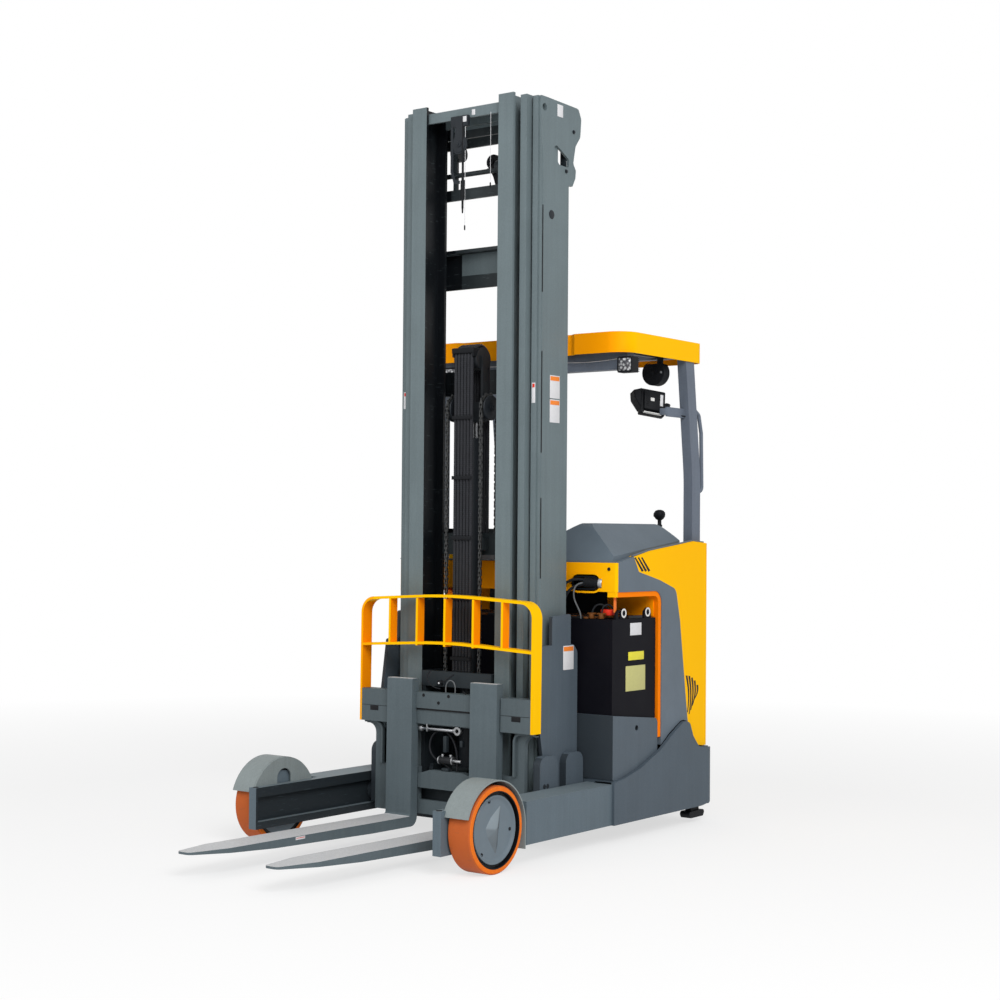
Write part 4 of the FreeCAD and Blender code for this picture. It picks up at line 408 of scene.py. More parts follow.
def powder_coat(name, paint, grease_and_shade_below=0.0, top=None, grease_and_shade_tone=(0.0045, 0.0060, 0.0080), front_shade=1.0):
    """Textured enamel on welded steel: fine grit, slow mottling and streaks. top is a paler tone for the upper
    faces, and a share below one darkens the front faces as painted shade. Below a given height, the roller
    tracks, their channels and the beams between them are painted black, partly greased and partly painted shade."""
    coat = Coat(name, Specular_IOR_Level=0.22)
    mottle = coat.noise(5.0, 4.0, 0.6)
    speck = coat.noise(160.0, 2.0, 0.5)
    streak = coat.noise(9.0, 3.0, 0.6, (6, 6, 0.25))
    tone = ((mottle - 0.5) * 0.9 + (streak - 0.5) * 0.7 + (speck - 0.5) * 0.8 + 0.5).within()
    colour = coat.tint(tone, scaled(paint, 0.84), scaled(paint, 1.14))
    x, y, z = coat.axes()
    nx, ny, nz = coat.facing()
    if top:
        colour = coat.tint(((nz > 0.85) * (0.75 + 0.5 * (speck - 0.5))).within(), colour, top)
    # Painted shade: the front faces are darkened.
    if front_shade < 1.0:
        colour = coat.tint(((ny < -0.5) * (0.9 + 0.2 * mottle)).within(), colour, scaled(paint, front_shade))
    shine = 0.50 + 0.10 * mottle - 0.05 * speck
    # Painted black on the roller tracks, the channels and the beams between them, below a height: partly greased,
    # partly painted shade.
    if grease_and_shade_below:
        across = abs(x)
        track = ((x * nx) < -0.05) * (across < SIDE_PLATES)
        channel = (ny < -0.5) * (y > CHANNEL_FACE) * across.between(BEAM_END, CHANNEL_END)
        beam_without_shade = (y > spot(0, 795, 0).y) * z.between(*BEAM_WITHOUT_SHADE)
        beam = (across < BEAM_END) * (ny < 0.5) * (1.0 - 0.9 * beam_without_shade)
        grease_and_shade = track.most(channel).most(beam * 0.80) * (z < grease_and_shade_below).most(across > BEAM_END + MM)
        smear = coat.noise(16.0, 4.0, 0.6, (1, 1, 0.3))
        scratch = coat.noise(60.0, 2.0, 0.6, (0.2, 0.2, 3.0))
        cover = (grease_and_shade * (0.90 + 0.25 * smear - 0.30 * (scratch > 0.68))).within()
        colour = coat.tint(cover, colour, grease_and_shade_tone)
        shine = shine - 0.12 * cover
    grit = coat.noise(900.0, 1.0, 0.5) + 0.6 * coat.noise(252.0, 1.0, 0.5)
    return coat.made(colour, shine, (grit, 0.0003, 0.6))


def gloss_paint(name, lit, shaded, turn=None):
    """Smooth sheet-metal paint between a lit and a shaded tone: with turn, the front faces take the shaded tone as
    painted shade; without it, the two tones mix at random.
    """
    coat = Coat(name, Specular_IOR_Level=0.03)
    nx, ny, nz = coat.facing()
    cloud = coat.noise(2.2, 2.0, 0.5)
    if turn is None:
        share = (cloud - 0.5) * 0.5 + 0.35
    else:
        # Painted shade: the front faces turn to the shaded tone.
        share = (0.0 - ny).within(0.15, 0.95) * turn + (cloud - 0.5) * 0.25
    return coat.made(coat.tint(share.within(), lit, shaded), 0.34 + 0.08 * coat.noise(26.0, 3.0, 0.5), PAINT_RELIEF)


def backrest_paint():
    """Yellow backrest; painted shade turns the inner bars' sides and the far post's front faces orange."""
    coat = Coat("backrest_yellow", Specular_IOR_Level=0.03)
    x, y, z = coat.axes()
    nx, ny, nz = coat.facing()
    cloud = coat.noise(2.2, 2.0, 0.5)
    # Painted shade: orange on the inner bars' sides and the far post's front faces.
    side = (nx > 0.6) * (x < 0.44) * (0.80 + 0.4 * cloud)
    far = (x < -0.40) * (ny < -0.5) * 0.5
    colour = coat.tint(side.most(far).within(), (1.0, 0.545, 0.001), (1.0, 0.285, 0.001))
    return coat.made(colour, 0.34 + 0.08 * coat.noise(26.0, 3.0, 0.5), PAINT_RELIEF)


def cowl_paint():
    """Orange cowl with painted shade: deep orange towards the middle of its front, golden towards its sides, and
    deeper orange on the lips round the battery openings.
    """
    coat = Coat("cowl_orange", Specular_IOR_Level=0.04)
    x, y, z = coat.axes()
    # Painted shade: the lips behind the front are deeper orange, and the front turns orange towards its middle.
    lip = y > low("front_cowl").y + 0.014
    share = (abs(x) * 2.2 - 0.55 + 0.3 * coat.noise(3.0, 2.0, 0.5)).within()
    colour = coat.tint(lip, coat.tint(share, (1.0, 0.330, 0.001), (1.0, 0.520, 0.001)), (0.95, 0.215, 0.001))
    return coat.made(colour, 0.36 + 0.08 * coat.noise(26.0, 3.0, 0.5), PAINT_RELIEF)


def cast_urethane():
    """Orange polyurethane tyre: scuffed tread, paler dusty marks and fine turning lines."""
    coat = Coat("orange_urethane", Specular_IOR_Level=0.12)
    radius = coat.from_axle()
    tread = radius > wheel_radius - 0.004
    dust = coat.noise(34.0, 5.0, 0.65)
    scuff = coat.noise(90.0, 4.0, 0.6, (0.3, 1, 1))
    colour = coat.tint(dust.within(0.35, 0.75), (0.74, 0.150, 0.008), (0.82, 0.190, 0.014))
    colour = coat.tint(tread * 0.75, colour, (0.40, 0.090, 0.030))
    colour = coat.tint((scuff > 0.66) * tread * 0.35, colour, (0.20, 0.09, 0.05))
    # Painted shade: the tyre's inner edge by the hub is black, as the gap round the cap.
    colour = coat.tint(radius < cap_radius + 0.0165, colour, (0.006, 0.006, 0.007))
    lines = (radius * 2400.0).wave() * (1 - tread) + scuff * tread * 1.5
    return coat.made(colour, 0.42 + 0.22 * dust, (lines, 0.0002, 0.4))


def wheel_cap_paint():
    """Grey enamel on the wheel's cap, with black painted shade in the gap between cap and tyre."""
    coat = Coat("wheel_cap_grey", Specular_IOR_Level=0.5)
    # Painted shade: black in the gap between cap and tyre.
    gap = coat.from_axle() > cap_radius + 0.0005
    mottle = coat.noise(18.0, 4.0, 0.6)
    grey = coat.tint(mottle, (0.10, 0.135, 0.165), (0.135, 0.175, 0.205))
    return coat.made(coat.tint(gap, grey, (0.004, 0.004, 0.005)), 0.42 + 0.12 * mottle + 0.2 * gap,
                     (600.0, 0.0002, 0.4))


def cap_fold_paint():
    """Glossy grey fold on the wheel cap, with painted light on its upward and forward slopes and painted shade on
    the others.
    """
    coat = Coat("wheel_fold_grey", Specular_IOR_Level=0.5)
    nx, ny, nz = coat.facing()
    mottle = coat.noise(22.0, 3.0, 0.6)
    # Painted light and shade by the facing of each slope.
    share = (nz * 1.3 - ny * 0.5 + 0.36 + 0.2 * (mottle - 0.5)).within()
    return coat.made(coat.tint(share, (0.035, 0.050, 0.062), (0.30, 0.36, 0.40)), 0.24 + 0.10 * mottle,
                     (300.0, 0.0002, 0.4))


def lift_head_finish():
    """Chromed rod below, dark enamel on the yoke and the pulleys above it."""
    coat = Coat("lift_head", Specular_IOR_Level=0.3)
    x, y, z = coat.axes()
    rod = ((x * x + (y - spot(0, 628, 0).y) ** 2.0) < ROD_RADIUS ** 2) * (z < YOKE_FOOT)
    grime = coat.noise(24.0, 3.0, 0.6)
    dark = coat.tint(grime, (0.006, 0.008, 0.010), (0.018, 0.022, 0.026))
    return coat.made(coat.tint(rod, dark, (0.45, 0.46, 0.48)), 0.55 - 0.35 * rod + 0.1 * grime,
                     (grime, 0.0002, 0.3), Metallic=rod)


def battery_skin():
    """Black coated battery box: smooth, slightly dusty at its lower edge."""
    coat = Coat("battery_black", Specular_IOR_Level=0.06)
    x, y, z = coat.axes()
    dust = coat.noise(10.0, 5.0, 0.6)
    share = (dust * 0.5 + z.within(0.52, 0.30) * 0.5).least(1.0)
    return coat.made(coat.tint(share, (0.0035, 0.0035, 0.006), (0.010, 0.010, 0.014)), 0.40 + 0.25 * dust,
                     (500.0, 0.00025, 0.5))


def lamp_face():
    """Array of small reflectors behind a clear lens."""
    coat = Coat("lamp_reflectors", Metallic=0.3)
    cup = coat.cells(75.0, (1, 0.01, 1))
    share = (cup * 1.2 + coat.noise(130.0, 2.0, 0.7) * 0.4).within(0.35, 0.95)
    return coat.made(coat.tint(share, (0.72, 0.73, 0.74), (0.06, 0.06, 0.07)), 0.2 + 0.3 * cup, (cup, 0.003, 0.8))


def seat_vinyl():
    """Black seat cover: leather grain with soft sheen on the crown."""
    coat = Coat("seat_vinyl", Specular_IOR_Level=0.25)
    wear = coat.noise(9.0, 4.0, 0.6)
    grain = coat.cells(420.0) + 0.4 * coat.noise(240.0, 2.0, 0.5)
    return coat.made(coat.tint(wear, (0.010, 0.010, 0.012), (0.026, 0.026, 0.030)), 0.42 + 0.2 * wear,
                     (grain, 0.0005, 0.6))


def oiled_chain():
    """Leaf chain steel, dark with oil and dust."""
    coat = Coat("oiled_chain", Metallic=0.75)
    grime = coat.noise(120.0, 4.0, 0.65)
    return coat.made(coat.tint(grime.within(0.3, 0.7), (0.028, 0.030, 0.032), (0.115, 0.118, 0.118)),
                     0.30 + 0.35 * grime, (grime, 0.0003, 0.5))


def moulded(name, tone, rough=0.55, gloss=0.2, grain=700.0, depth=0.0003):
    """Grained plastic."""
    coat = Coat(name, Specular_IOR_Level=gloss)
    colour = coat.tint(coat.noise(6.0, 3.0, 0.6), scaled(tone, 0.82), scaled(tone, 1.16))
    return coat.made(colour, rough + 0.12 * coat.noise(40.0, 3.0, 0.6) - 0.06, (coat.cells(grain), depth, 0.5))


def metal(name, tone, rough, drawn=(1, 1, 40)):
    """Bare metal with drawing lines along one axis."""
    coat = Coat(name, Metallic=1.0)
    lines = coat.noise(60.0, 3.0, 0.6, drawn)
    return coat.made(coat.tint(lines, scaled(tone, 0.85), tone), rough + 0.12 * lines, (lines, 0.00006, 0.4))


def rubber(name, tone):
    """Hose, cable or tyre cover: matte rubber."""
    coat = Coat(name, Specular_IOR_Level=0.14)
    cloud = coat.noise(30.0, 3.0, 0.6)
    return coat.made(coat.tint(cloud, tone, scaled(tone, 1.8)), 0.42 + 0.25 * cloud, (900.0, 0.0002, 0.5))


def printed(name, tone, rough=0.4):
    """Small one-colour part: slight unevenness in tone and polish."""
    coat = Coat(name, Specular_IOR_Level=0.15)
    cloud = coat.noise(70.0, 3.0, 0.6)
    return coat.made(coat.tint(cloud, scaled(tone, 0.85), tone), rough + 0.15 * cloud, (800.0, 0.00015, 0.4))


mast_coat = powder_coat("mast_enamel", (0.134, 0.171, 0.183), grease_and_shade_below=3.098)
carriage_coat = powder_coat("carriage_enamel", (0.085, 0.109, 0.120))
fork_coat = powder_coat("fork_enamel", (0.098, 0.127, 0.142), top=(0.68, 0.68, 0.69))
# The legs' paler upper faces are a painted highlight.
leg_coat = powder_coat("leg_enamel", (0.106, 0.140, 0.166), grease_and_shade_below=9.0, top=(0.17, 0.21, 0.23),
                       grease_and_shade_tone=(0.019, 0.025, 0.030))
fender_coat = powder_coat("fender_enamel", (0.235, 0.270, 0.272))
body_coat = powder_coat("body_enamel", (0.074, 0.098, 0.122))
# The tray's front faces get painted shade.
tray_coat = powder_coat("tray_enamel", (0.082, 0.106, 0.130), front_shade=0.38)
post_coat = powder_coat("post_enamel", (0.130, 0.154, 0.195))
dark_coat = powder_coat("dark_frame_enamel", (0.014, 0.018, 0.023))
frame_black = powder_coat("lift_frame_enamel", (0.020, 0.027, 0.032))
motor_black = powder_coat("motor_enamel", (0.014, 0.015, 0.017))
cover_grain = moulded("cover_grain", (0.120, 0.150, 0.182), 0.50, grain=1100.0, depth=0.00015)
hood_grain = moulded("hood_grain", (0.110, 0.140, 0.168), 0.42, grain=1100.0, depth=0.00015)
black_grain = moulded("black_grain", (0.008, 0.009, 0.011), gloss=0.12)
panel_yellow = gloss_paint("panel_yellow", (1.0, 0.545, 0.001), (1.0, 0.450, 0.001))
guard_yellow = gloss_paint("guard_yellow", (1.0, 0.520, 0.001), (1.0, 0.340, 0.001), turn=0.9)
bay_orange = gloss_paint("bay_orange", (1.0, 0.330, 0.001), (1.0, 0.300, 0.001))
urethane = cast_urethane()
cap_coat = wheel_cap_paint()
cowl_orange = cowl_paint()
cap_fold = cap_fold_paint()
backrest_yellow = backrest_paint()
lift_head = lift_head_finish()
chrome = metal("cylinder_chrome", (0.40, 0.41, 0.43), 0.22, (40, 40, 1))
steel = metal("bare_steel", (0.38, 0.39, 0.40), 0.36)
chain_finish = oiled_chain()
hose_cover = rubber("hose_rubber", (0.010, 0.011, 0.013))
mast_hose_cover = rubber("mast_hose_rubber", (0.016, 0.017, 0.020))
cable_grey = rubber("grey_cable", (0.10, 0.105, 0.11))
drive_rubber = rubber("drive_tyre_rubber", (0.014, 0.014, 0.014))
battery_black = battery_skin()
vinyl = seat_vinyl()
stripe_black = printed("stripe_black", (0.010, 0.010, 0.012))
white_ring = printed("white_ring", (0.74, 0.74, 0.72))
red_plastic = printed("red_plastic", (0.72, 0.035, 0.015), 0.35)
orange_strap = printed("orange_strap", (0.85, 0.20, 0.03))
terminal_brown = printed("terminal_brown", (0.16, 0.055, 0.012))
white_paper = printed("blank_white_label", (0.72, 0.72, 0.74))
yellow_paper = printed("blank_yellow_label", (0.80, 0.72, 0.06))
pale_paper = printed("blank_pale_label", (0.56, 0.54, 0.22))
orange_paper = printed("orange_band", (0.90, 0.25, 0.04))
screen_black = printed("screen_black", (0.010, 0.011, 0.014), 0.15)
lamp_cups = lamp_face()

finish_nodes = (
    (leg_coat, "straddle_leg_left straddle_leg_right"),
    (fender_coat, "fender_left fender_right"),
    (urethane, "load_tyre_left load_tyre_right"),
    (cap_coat, "load_hub_left load_hub_right"),
    (cover_grain, "side_cover_left side_cover_right seat_base"),
    (panel_yellow, "side_panel_left side_panel_right rear_panel"),
    (body_coat, "chassis_frame"),
    (motor_black, "drive_unit drive_motor reach_barrel"),
    (drive_rubber, "drive_wheel"),
    (battery_black, "battery"),
    (tray_coat, "battery_tray reach_carriage"),
    (cowl_orange, "front_cowl"),
    (hood_grain, "hood"),
    (black_grain, "rear_feet console steering_wheel armrest monitor cab_fan work_light_left work_light_right"
                  " hose_sleeve"),
    (guard_yellow, "guard_roof"),
    (post_coat, "guard_frame grab_handle"),
    (mast_coat, "outer_mast middle_mast inner_mast"),
    (dark_coat, "lift_barrels free_barrel"),
    (chrome, "lift_rods reach_rod"),
    (lift_head, "free_rod"),
    (chain_finish, "lift_chains"),
    (frame_black, "carriage_frame"),
    (carriage_coat, "fork_frame"),
    (fork_coat, "fork_left fork_right"),
    (backrest_yellow, "load_backrest"),
    (mast_hose_cover, "mast_hoses"),
    (hose_cover, "cowl_hose_upper cowl_hose_lower carriage_hose"),
    (cable_grey, "cowl_cable carriage_wire"),
    (vinyl, "seat_cushion seat_back"),
)
for finish, nodes in finish_nodes:
    for node in nodes.split():
        for material_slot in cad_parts[node].material_slots:
            material_slot.material = finish


# ------------------------------------------------------------------ free cords
def free_cord(node, placed, route, length, diameter, body, finish, slot, stiffness):
    """Cord that leaves the truck at one place and goes back into it at another."""
    points = [placed(*p) for p in route]
    cord = line(node + "_line", points, diameter, body, finish)
    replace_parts(cord, node)


def lead(name, points, diameter, body="chassis", finish=hose_cover):
    """Short wire or lead with both ends on the truck, or with a ferrule on its free end."""
    points = [at(p) for p in points]
    cord = line(name, points, diameter, body, finish)


cowl_hose_upper_route = ((442, 858, 1111), (405, 851, 1116), (368, 845, 1108), (336, 840, 1080),
                         (322, 835, 1035), (318, 831, 985), (318, 829, 940), (318, 829, 915))
cowl_hose_lower_route = ((442, 858, 1093), (406, 852, 1090), (374, 846, 1072), (352, 840, 1040),
                         (342, 835, 1000), (338, 831, 960), (338, 829, 930), (338, 829, 915))
cowl_cable_route = ((444.6, 848.4, 1100), (424, 843, 1098), (407, 839, 1086), (398, 838, 1067),
                    (396, 840, 1045), (398, 846, 1022), (403, 856, 1001), (409, 865, 981),
                    (413, 870, 962), (414, 871, 945))
carriage_wire_route = ((-25, 489, 625), (-27, 489, 645), (-21, 489, 667), (-2, 489, 681), (18, 489, 672),
                       (27, 489, 650), (25, 489, 625))
carriage_hose_route = ((42, 488, 292), (42, 490, 330), (38, 491, 372), (26, 490, 412), (3, 489, 445),
                       (-29, 488, 464), (-63, 487, 462), (-92, 486, 440), (-107, 485, 406),
                       (-103, 484, 370), (-80, 484, 343), (-46, 485, 328), (-14, 487, 318), (14, 488, 294))
black_hose = (hose_cover, "hose_black")
grey_wire = (cable_grey, "cable_grey")
free_cord("cowl_hose_upper", spot, cowl_hose_upper_route, 0.285, 0.013, "chassis", *black_hose, "medium")
free_cord("cowl_hose_lower", spot, cowl_hose_lower_route, 0.239, 0.013, "chassis", *black_hose, "medium")
free_cord("cowl_cable", spot, cowl_cable_route, 0.192, 0.007, "chassis", *grey_wire, "medium")
free_cord("carriage_wire", tilted, carriage_wire_route, 0.133, 0.005, "fork_tilter", *grey_wire, "stiff")
free_cord("carriage_hose", tilted, carriage_hose_route, 0.489, 0.009, "fork_tilter", *black_hose, "medium")


# ------------------------------------------------------------------ load wheels
def sunk_hole(radius, crest, rim):
    """Profile of a flat disc with a turned rim round it, painted dark as the shade inside a hole."""
    return [(0.0, 0.0), (radius, 0.0), (radius, 0.0008), (crest, 0.001), (rim, 0.0)]


def wheel_hub(side, sign):
    """Wheel hub: turned rim, sunken gap round a dished cap, a bent fold pressed into it."""
    node = "load_hub_" + side
    body = "load_wheel_" + side
    inner_x, outer_x = (low(node).x, high(node).x)[::sign]
    radius = high(node).z - wheel.z
    width = abs(outer_x - inner_x)
    cap = radius - CAP_INSET
    centre = Vector((inner_x, axle_y, wheel.z))
    axis = X * sign

    def on_cap(height, across, rise):
        return centre + axis * height + Y * across + Z * rise

    hub = Shape().lathe(centre, axis, [(0.026, 0.0), (radius, 0.0), (radius, width - 0.014),
                                       (cap + 0.001, width - 0.014), (cap + 0.001, width - 0.034),
                                       (0.026, width - 0.034), (0.026, 0.0)], 96)
    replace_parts(hub.done(node + "_rim", cap_coat, "hub_grey", body), node)

    face = width - 0.004
    dish = [(0.0, width - 0.033), (cap - 0.003, width - 0.033), (cap, width - 0.030), (cap, face - 0.001),
            (cap - 0.002, face + 0.0015), (cap - 0.005, face + 0.001), (cap - 0.009, face - 0.002),
            (cap - 0.015, face - 0.008), (cap - 0.022, face - 0.010), (0.0, face - 0.011)]
    Shape().lathe(centre, axis, dish, 96).done("load_cap_dish_" + side, cap_coat, "hub_grey", body)

    fold = Shape()
    fold_depth = 0.0155
    outline = ((62, 0.112), (20, 0.046), (-30, 0.040), (-62, 0.070), (-80, 0.108), (-100, 0.064), (-140, 0.046),
               (170, 0.050), (110, 0.052))
    rim = [fold.bm.verts.new(on_cap(width - fold_depth, reach * math.cos(math.radians(turn)),
                                    reach * math.sin(math.radians(turn)))) for turn, reach in reversed(outline)]
    fold.bm.faces.new(rim[::sign])
    bmesh.ops.poke(fold.bm, faces=fold.bm.faces[:])
    crown = next(v for v in fold.bm.verts if v not in rim)
    crown.co.x += sign * fold_depth
    soften(fold.bm, [e for e in fold.bm.edges if crown in e.verts], 0.004, 3)
    fold.outwards()
    if sum(f.normal.x * sign for f in fold.bm.faces) < 0:
        bmesh.ops.reverse_faces(fold.bm, faces=fold.bm.faces[:])
    fold.done("load_cap_fold_" + side, cap_fold, "hub_grey", body)

    screws = Shape()
    for away_y, away_z in ((-26, 110), (108, -10), (-71, -87)):
        screws.lathe(on_cap(face - 0.0108, away_y * MM, away_z * MM), axis,
                     [(0.0, 0.001), (0.0045, 0.001), (0.0045, 0.003), (0.0065, 0.003), (0.0075, 0.0)], 20)
    screws.done("load_cap_screws_" + side, stripe_black, "hub_grey", body)


# Painted shade: black discs stand in for the bolt holes in the legs.
leg_holes = Shape()
for side, sign in SIDES:
    wheel_hub(side, sign)
    leg_holes.lathe((sign * 484, -184, 253.2), Z, sunk_hole(0.009, 0.012, 0.013), 24)
leg_holes.done("leg_bolt_holes", stripe_black, "leg_grey")


# ------------------------------------------------------------------ mast chains and hoses
HEAD_Y = 628.0
CHAIN_WHEEL_Z = 1850.0
CHAIN_BEND = 54.5
HOSE_WHEEL_Z = 2064.0
HOSE_BEND = 58.3
HOSE_X = (-43, -25.8, -8.6, 8.6, 25.8, 43)
CARRIAGE_TOP = 712.0
TIE_TOP = 1310.0
PIN_PITCH = 0.019
RIB_PITCH = 9.0


def chain_module():
    """Two pitches of leaf chain along +Z: outer plates, inner plates and their pins."""
    half = [(0.0068 * math.cos(math.radians(turn)), PIN_PITCH + 0.0066 * math.sin(math.radians(turn)))
            for turn in (30, 90, 150)] + [(-0.0042, PIN_PITCH / 2 + 0.002)]
    loop = half + [(-a, PIN_PITCH - b) for a, b in half]
    loop.sort(key=lambda p: math.atan2(p[1] - PIN_PITCH / 2, p[0]))
    shape = Shape()
    for step, offset in ((0, -0.0056), (0, 0.0056), (1, -0.0024), (1, 0.0024)):
        shape.sheet([Vector((offset - 0.0012, a, b + step * PIN_PITCH)) for a, b in loop], 0.0024)
    for step in (0, 1):
        shape.disc(Z * step * PIN_PITCH, X, 0.0026, 0.0158, 0, 8)
    mesh = bpy.data.meshes.new("chain_module")
    shape.outwards().bm.to_mesh(mesh)
    shape.bm.free()
    return mesh


module = chain_module()


def add_module(shape, matrix):
    """Adds one chain module, moved by a matrix."""
    before = set(shape.bm.verts)
    shape.bm.from_mesh(module)
    shape.moved(matrix, shape.since(before))


def chain_run(shape, x, y, bottom):
    """Straight chain from a height up to its pulley."""
    rise = (CHAIN_WHEEL_Z - bottom) * MM
    count = round(rise / (2 * PIN_PITCH))
    stretch = rise / (2 * PIN_PITCH * count)
    for index in range(count):
        place = spot(x, y, bottom) + Z * index * 2 * PIN_PITCH * stretch
        add_module(shape, Matrix.Translation(place) @ Matrix.Scale(stretch, 4, Z))


def chain_wrap(shape, x):
    """Chain over the top half of its pulley, a little pressed together."""
    count = 5
    start = 0.12
    back = -PIN_PITCH * 0.2
    pressed = 0.9
    for index in range(count):
        angle = math.pi * (index + start) / count
        add_module(shape, Matrix.Translation(spot(x, HEAD_Y, CHAIN_WHEEL_Z)) @ Matrix.Rotation(-angle, 4, "X")
                   @ Matrix.Translation((0, -CHAIN_BEND * MM, back)) @ Matrix.Scale(pressed, 4, Z))


def ribbed_run(shape, x, y, bottom):
    """Straight ribbed hose from a height up to its pulley."""
    crest = 0.0080
    valley = 0.0069
    profile = []
    for step in range(math.ceil((HOSE_WHEEL_Z - bottom) / RIB_PITCH - 1)):
        profile += [(valley, step * RIB_PITCH * MM), (crest, (step + 0.25) * RIB_PITCH * MM),
                    (crest, (step + 0.75) * RIB_PITCH * MM)]
    profile.append((valley, (HOSE_WHEEL_Z - bottom) * MM))
    shape.lathe((x, y, bottom), Z, profile, 14)


def hose_bend(shape, x):
    """Hose over the top half of its pulley."""
    verts = bmesh.ops.create_circle(shape.bm, cap_ends=False, segments=16, radius=0.0078)["verts"]
    bmesh.ops.translate(shape.bm, vec=spot(x, HEAD_Y - HOSE_BEND, HOSE_WHEEL_Z), verts=verts)
    edges = list(dict.fromkeys(e for v in verts for e in v.link_edges))
    bmesh.ops.spin(shape.bm, geom=verts + edges, cent=spot(x, HEAD_Y, HOSE_WHEEL_Z), axis=X, angle=-math.pi,
                   steps=24)


def follow_head(piece):
    """Gives a run that hangs in front of the free lift its own copy of its mesh."""
    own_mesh(piece)


def stretch_between(piece):
    """Bakes the placement of a run behind the free lift, between the inner stage and the head, into its mesh."""
    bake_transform(piece)


shape = Shape()
for x in (-92, 92):
    chain_run(shape, x, HEAD_Y - CHAIN_BEND, CARRIAGE_TOP)
chains_front = shape.done("chains_front", chain_finish, "chain_steel", "free_head", 0)
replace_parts(chains_front, "lift_chains")
follow_head(chains_front)

shape = Shape()
for x in (-92, 92):
    chain_run(shape, x, HEAD_Y + CHAIN_BEND, TIE_TOP)
    chain_wrap(shape, x)
stretch_between(shape.done("chains_rear", chain_finish, "chain_steel", None, 0))

shape = Shape()
for x in HOSE_X:
    ribbed_run(shape, x, HEAD_Y - HOSE_BEND, CARRIAGE_TOP)
hoses_front = shape.done("hoses_front", mast_hose_cover, "hose_black", "free_head")
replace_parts(hoses_front, "mast_hoses")
follow_head(hoses_front)

shape = Shape()
for x in HOSE_X:
    ribbed_run(shape, x, HEAD_Y + HOSE_BEND, TIE_TOP)
    hose_bend(shape, x)
stretch_between(shape.outwards().done("hoses_rear", mast_hose_cover, "hose_black", None))

pulley_half = ((0.0, 0.0165), (0.020, 0.0165), (0.024, 0.0145), (0.052, 0.0145), (0.055, 0.0115), (0.050, 0.0095),
               (0.047, 0.0090))
pulley = [(radius, -height) for radius, height in pulley_half] + list(reversed(pulley_half))
shape = Shape()
for sign in (-1, 1):
    shape.lathe((sign * 92, HEAD_Y, CHAIN_WHEEL_Z), X, pulley, 40)
    shape.bolt((sign * 112.5, HEAD_Y, CHAIN_WHEEL_Z), X * sign, 0.022, 0.008)
shape.done("chain_pulleys", dark_coat, "frame_grey", "free_head")
shape = Shape().block((-60, 558, 2086), (60, 566, 2110), 0.003)
for x in (-54, 54):
    shape.block((x - 5, 560, 2070), (x + 5, 640, 2110), 0.003)
shape.done("hose_pulley_guard", black_grain, "frame_grey", "free_head")
shape = Shape()
for z in range(760, 1801, 260):
    shape.block((-54, 556, z), (54, 559.5, z + 16), 0.001)
follow_head(shape.done("hose_clips", black_grain, "hose_black", "free_head"))


# ------------------------------------------------------------------ mast fittings
def upright_seams():
    """Welded seam between the outer rail and the side plate: open slots between stretches of weld."""
    slots = Shape()
    beads = Shape()
    for side, sign in SIDES:
        for bottom, top in ((2330, 2700), (1650, 2080), (1120, 1460), (640, 960)):
            slots.block((sign * 377.2 - 0.8, 616, bottom), (sign * 377.2 + 0.8, 622, top), 0.0004)
        for bottom, top in ((2705, 2950), (2085, 2325), (1465, 1645), (965, 1115)):
            for z in range(bottom, top, 9):
                beads.disc((sign * 376, 619, z), Z, 0.0032, 0.011, 0.0012, 8, 0.0024)
    slots.done("mast_weld_slots", stripe_black, "frame_grey", "mast_carriage")
    beads.done("mast_weld_beads", mast_coat, "frame_grey", "mast_carriage")


def blank_sign(name, lowest, highest, body, header=None, paper=white_paper):
    """Blank sticker, with a coloured band near its top where it has a header."""
    lowest, highest = at(lowest), at(highest)
    Shape().block(lowest, highest, 0.0002).done(name, paper, "frame_grey", body)
    if header:
        size = highest - lowest
        out, along = (X, Y) if size.x < size.y else (Y, X)
        rim = along * 0.003 - out * 0.0003
        band_top = highest - Z * 0.004
        band_foot = Vector((lowest.x, lowest.y, band_top.z - size.z * 0.19))
        Shape().block(band_foot + rim, band_top - rim, 0.0001).done(name + "_band", header, "frame_grey", body)


def mast_fittings():
    """Bolts, discs and holes of the mast's side plates, and dark plates behind their windows that stand in for the
    shade inside them.
    """
    shape = Shape()
    for side, sign in SIDES:
        for y, z in ((845, 3050), (790, 2870)):
            shape.bolt((sign * 376, y, z), X * sign, 0.012, 0.005)
        shape.disc((sign * 376.6, 684, 2667), X, 0.019, 0.0022, 0.0006, 32)
        # Painted shade: dark discs stand in for holes.
        for y in (545, 568):
            shape.lathe((sign * 458.2, y, 262), X * sign, sunk_hole(0.008, 0.0095, 0.0102), 20)
    shape.done("mast_bolts", dark_coat, "frame_grey", "mast_carriage")
    # Painted shade: dark plates behind the side plates' windows.
    Shape().pair((334, 806, 2880), (364.5, 811, 2975), 0.0006).done(
        "window_shade_plates", frame_black, "frame_grey", "mast_carriage")


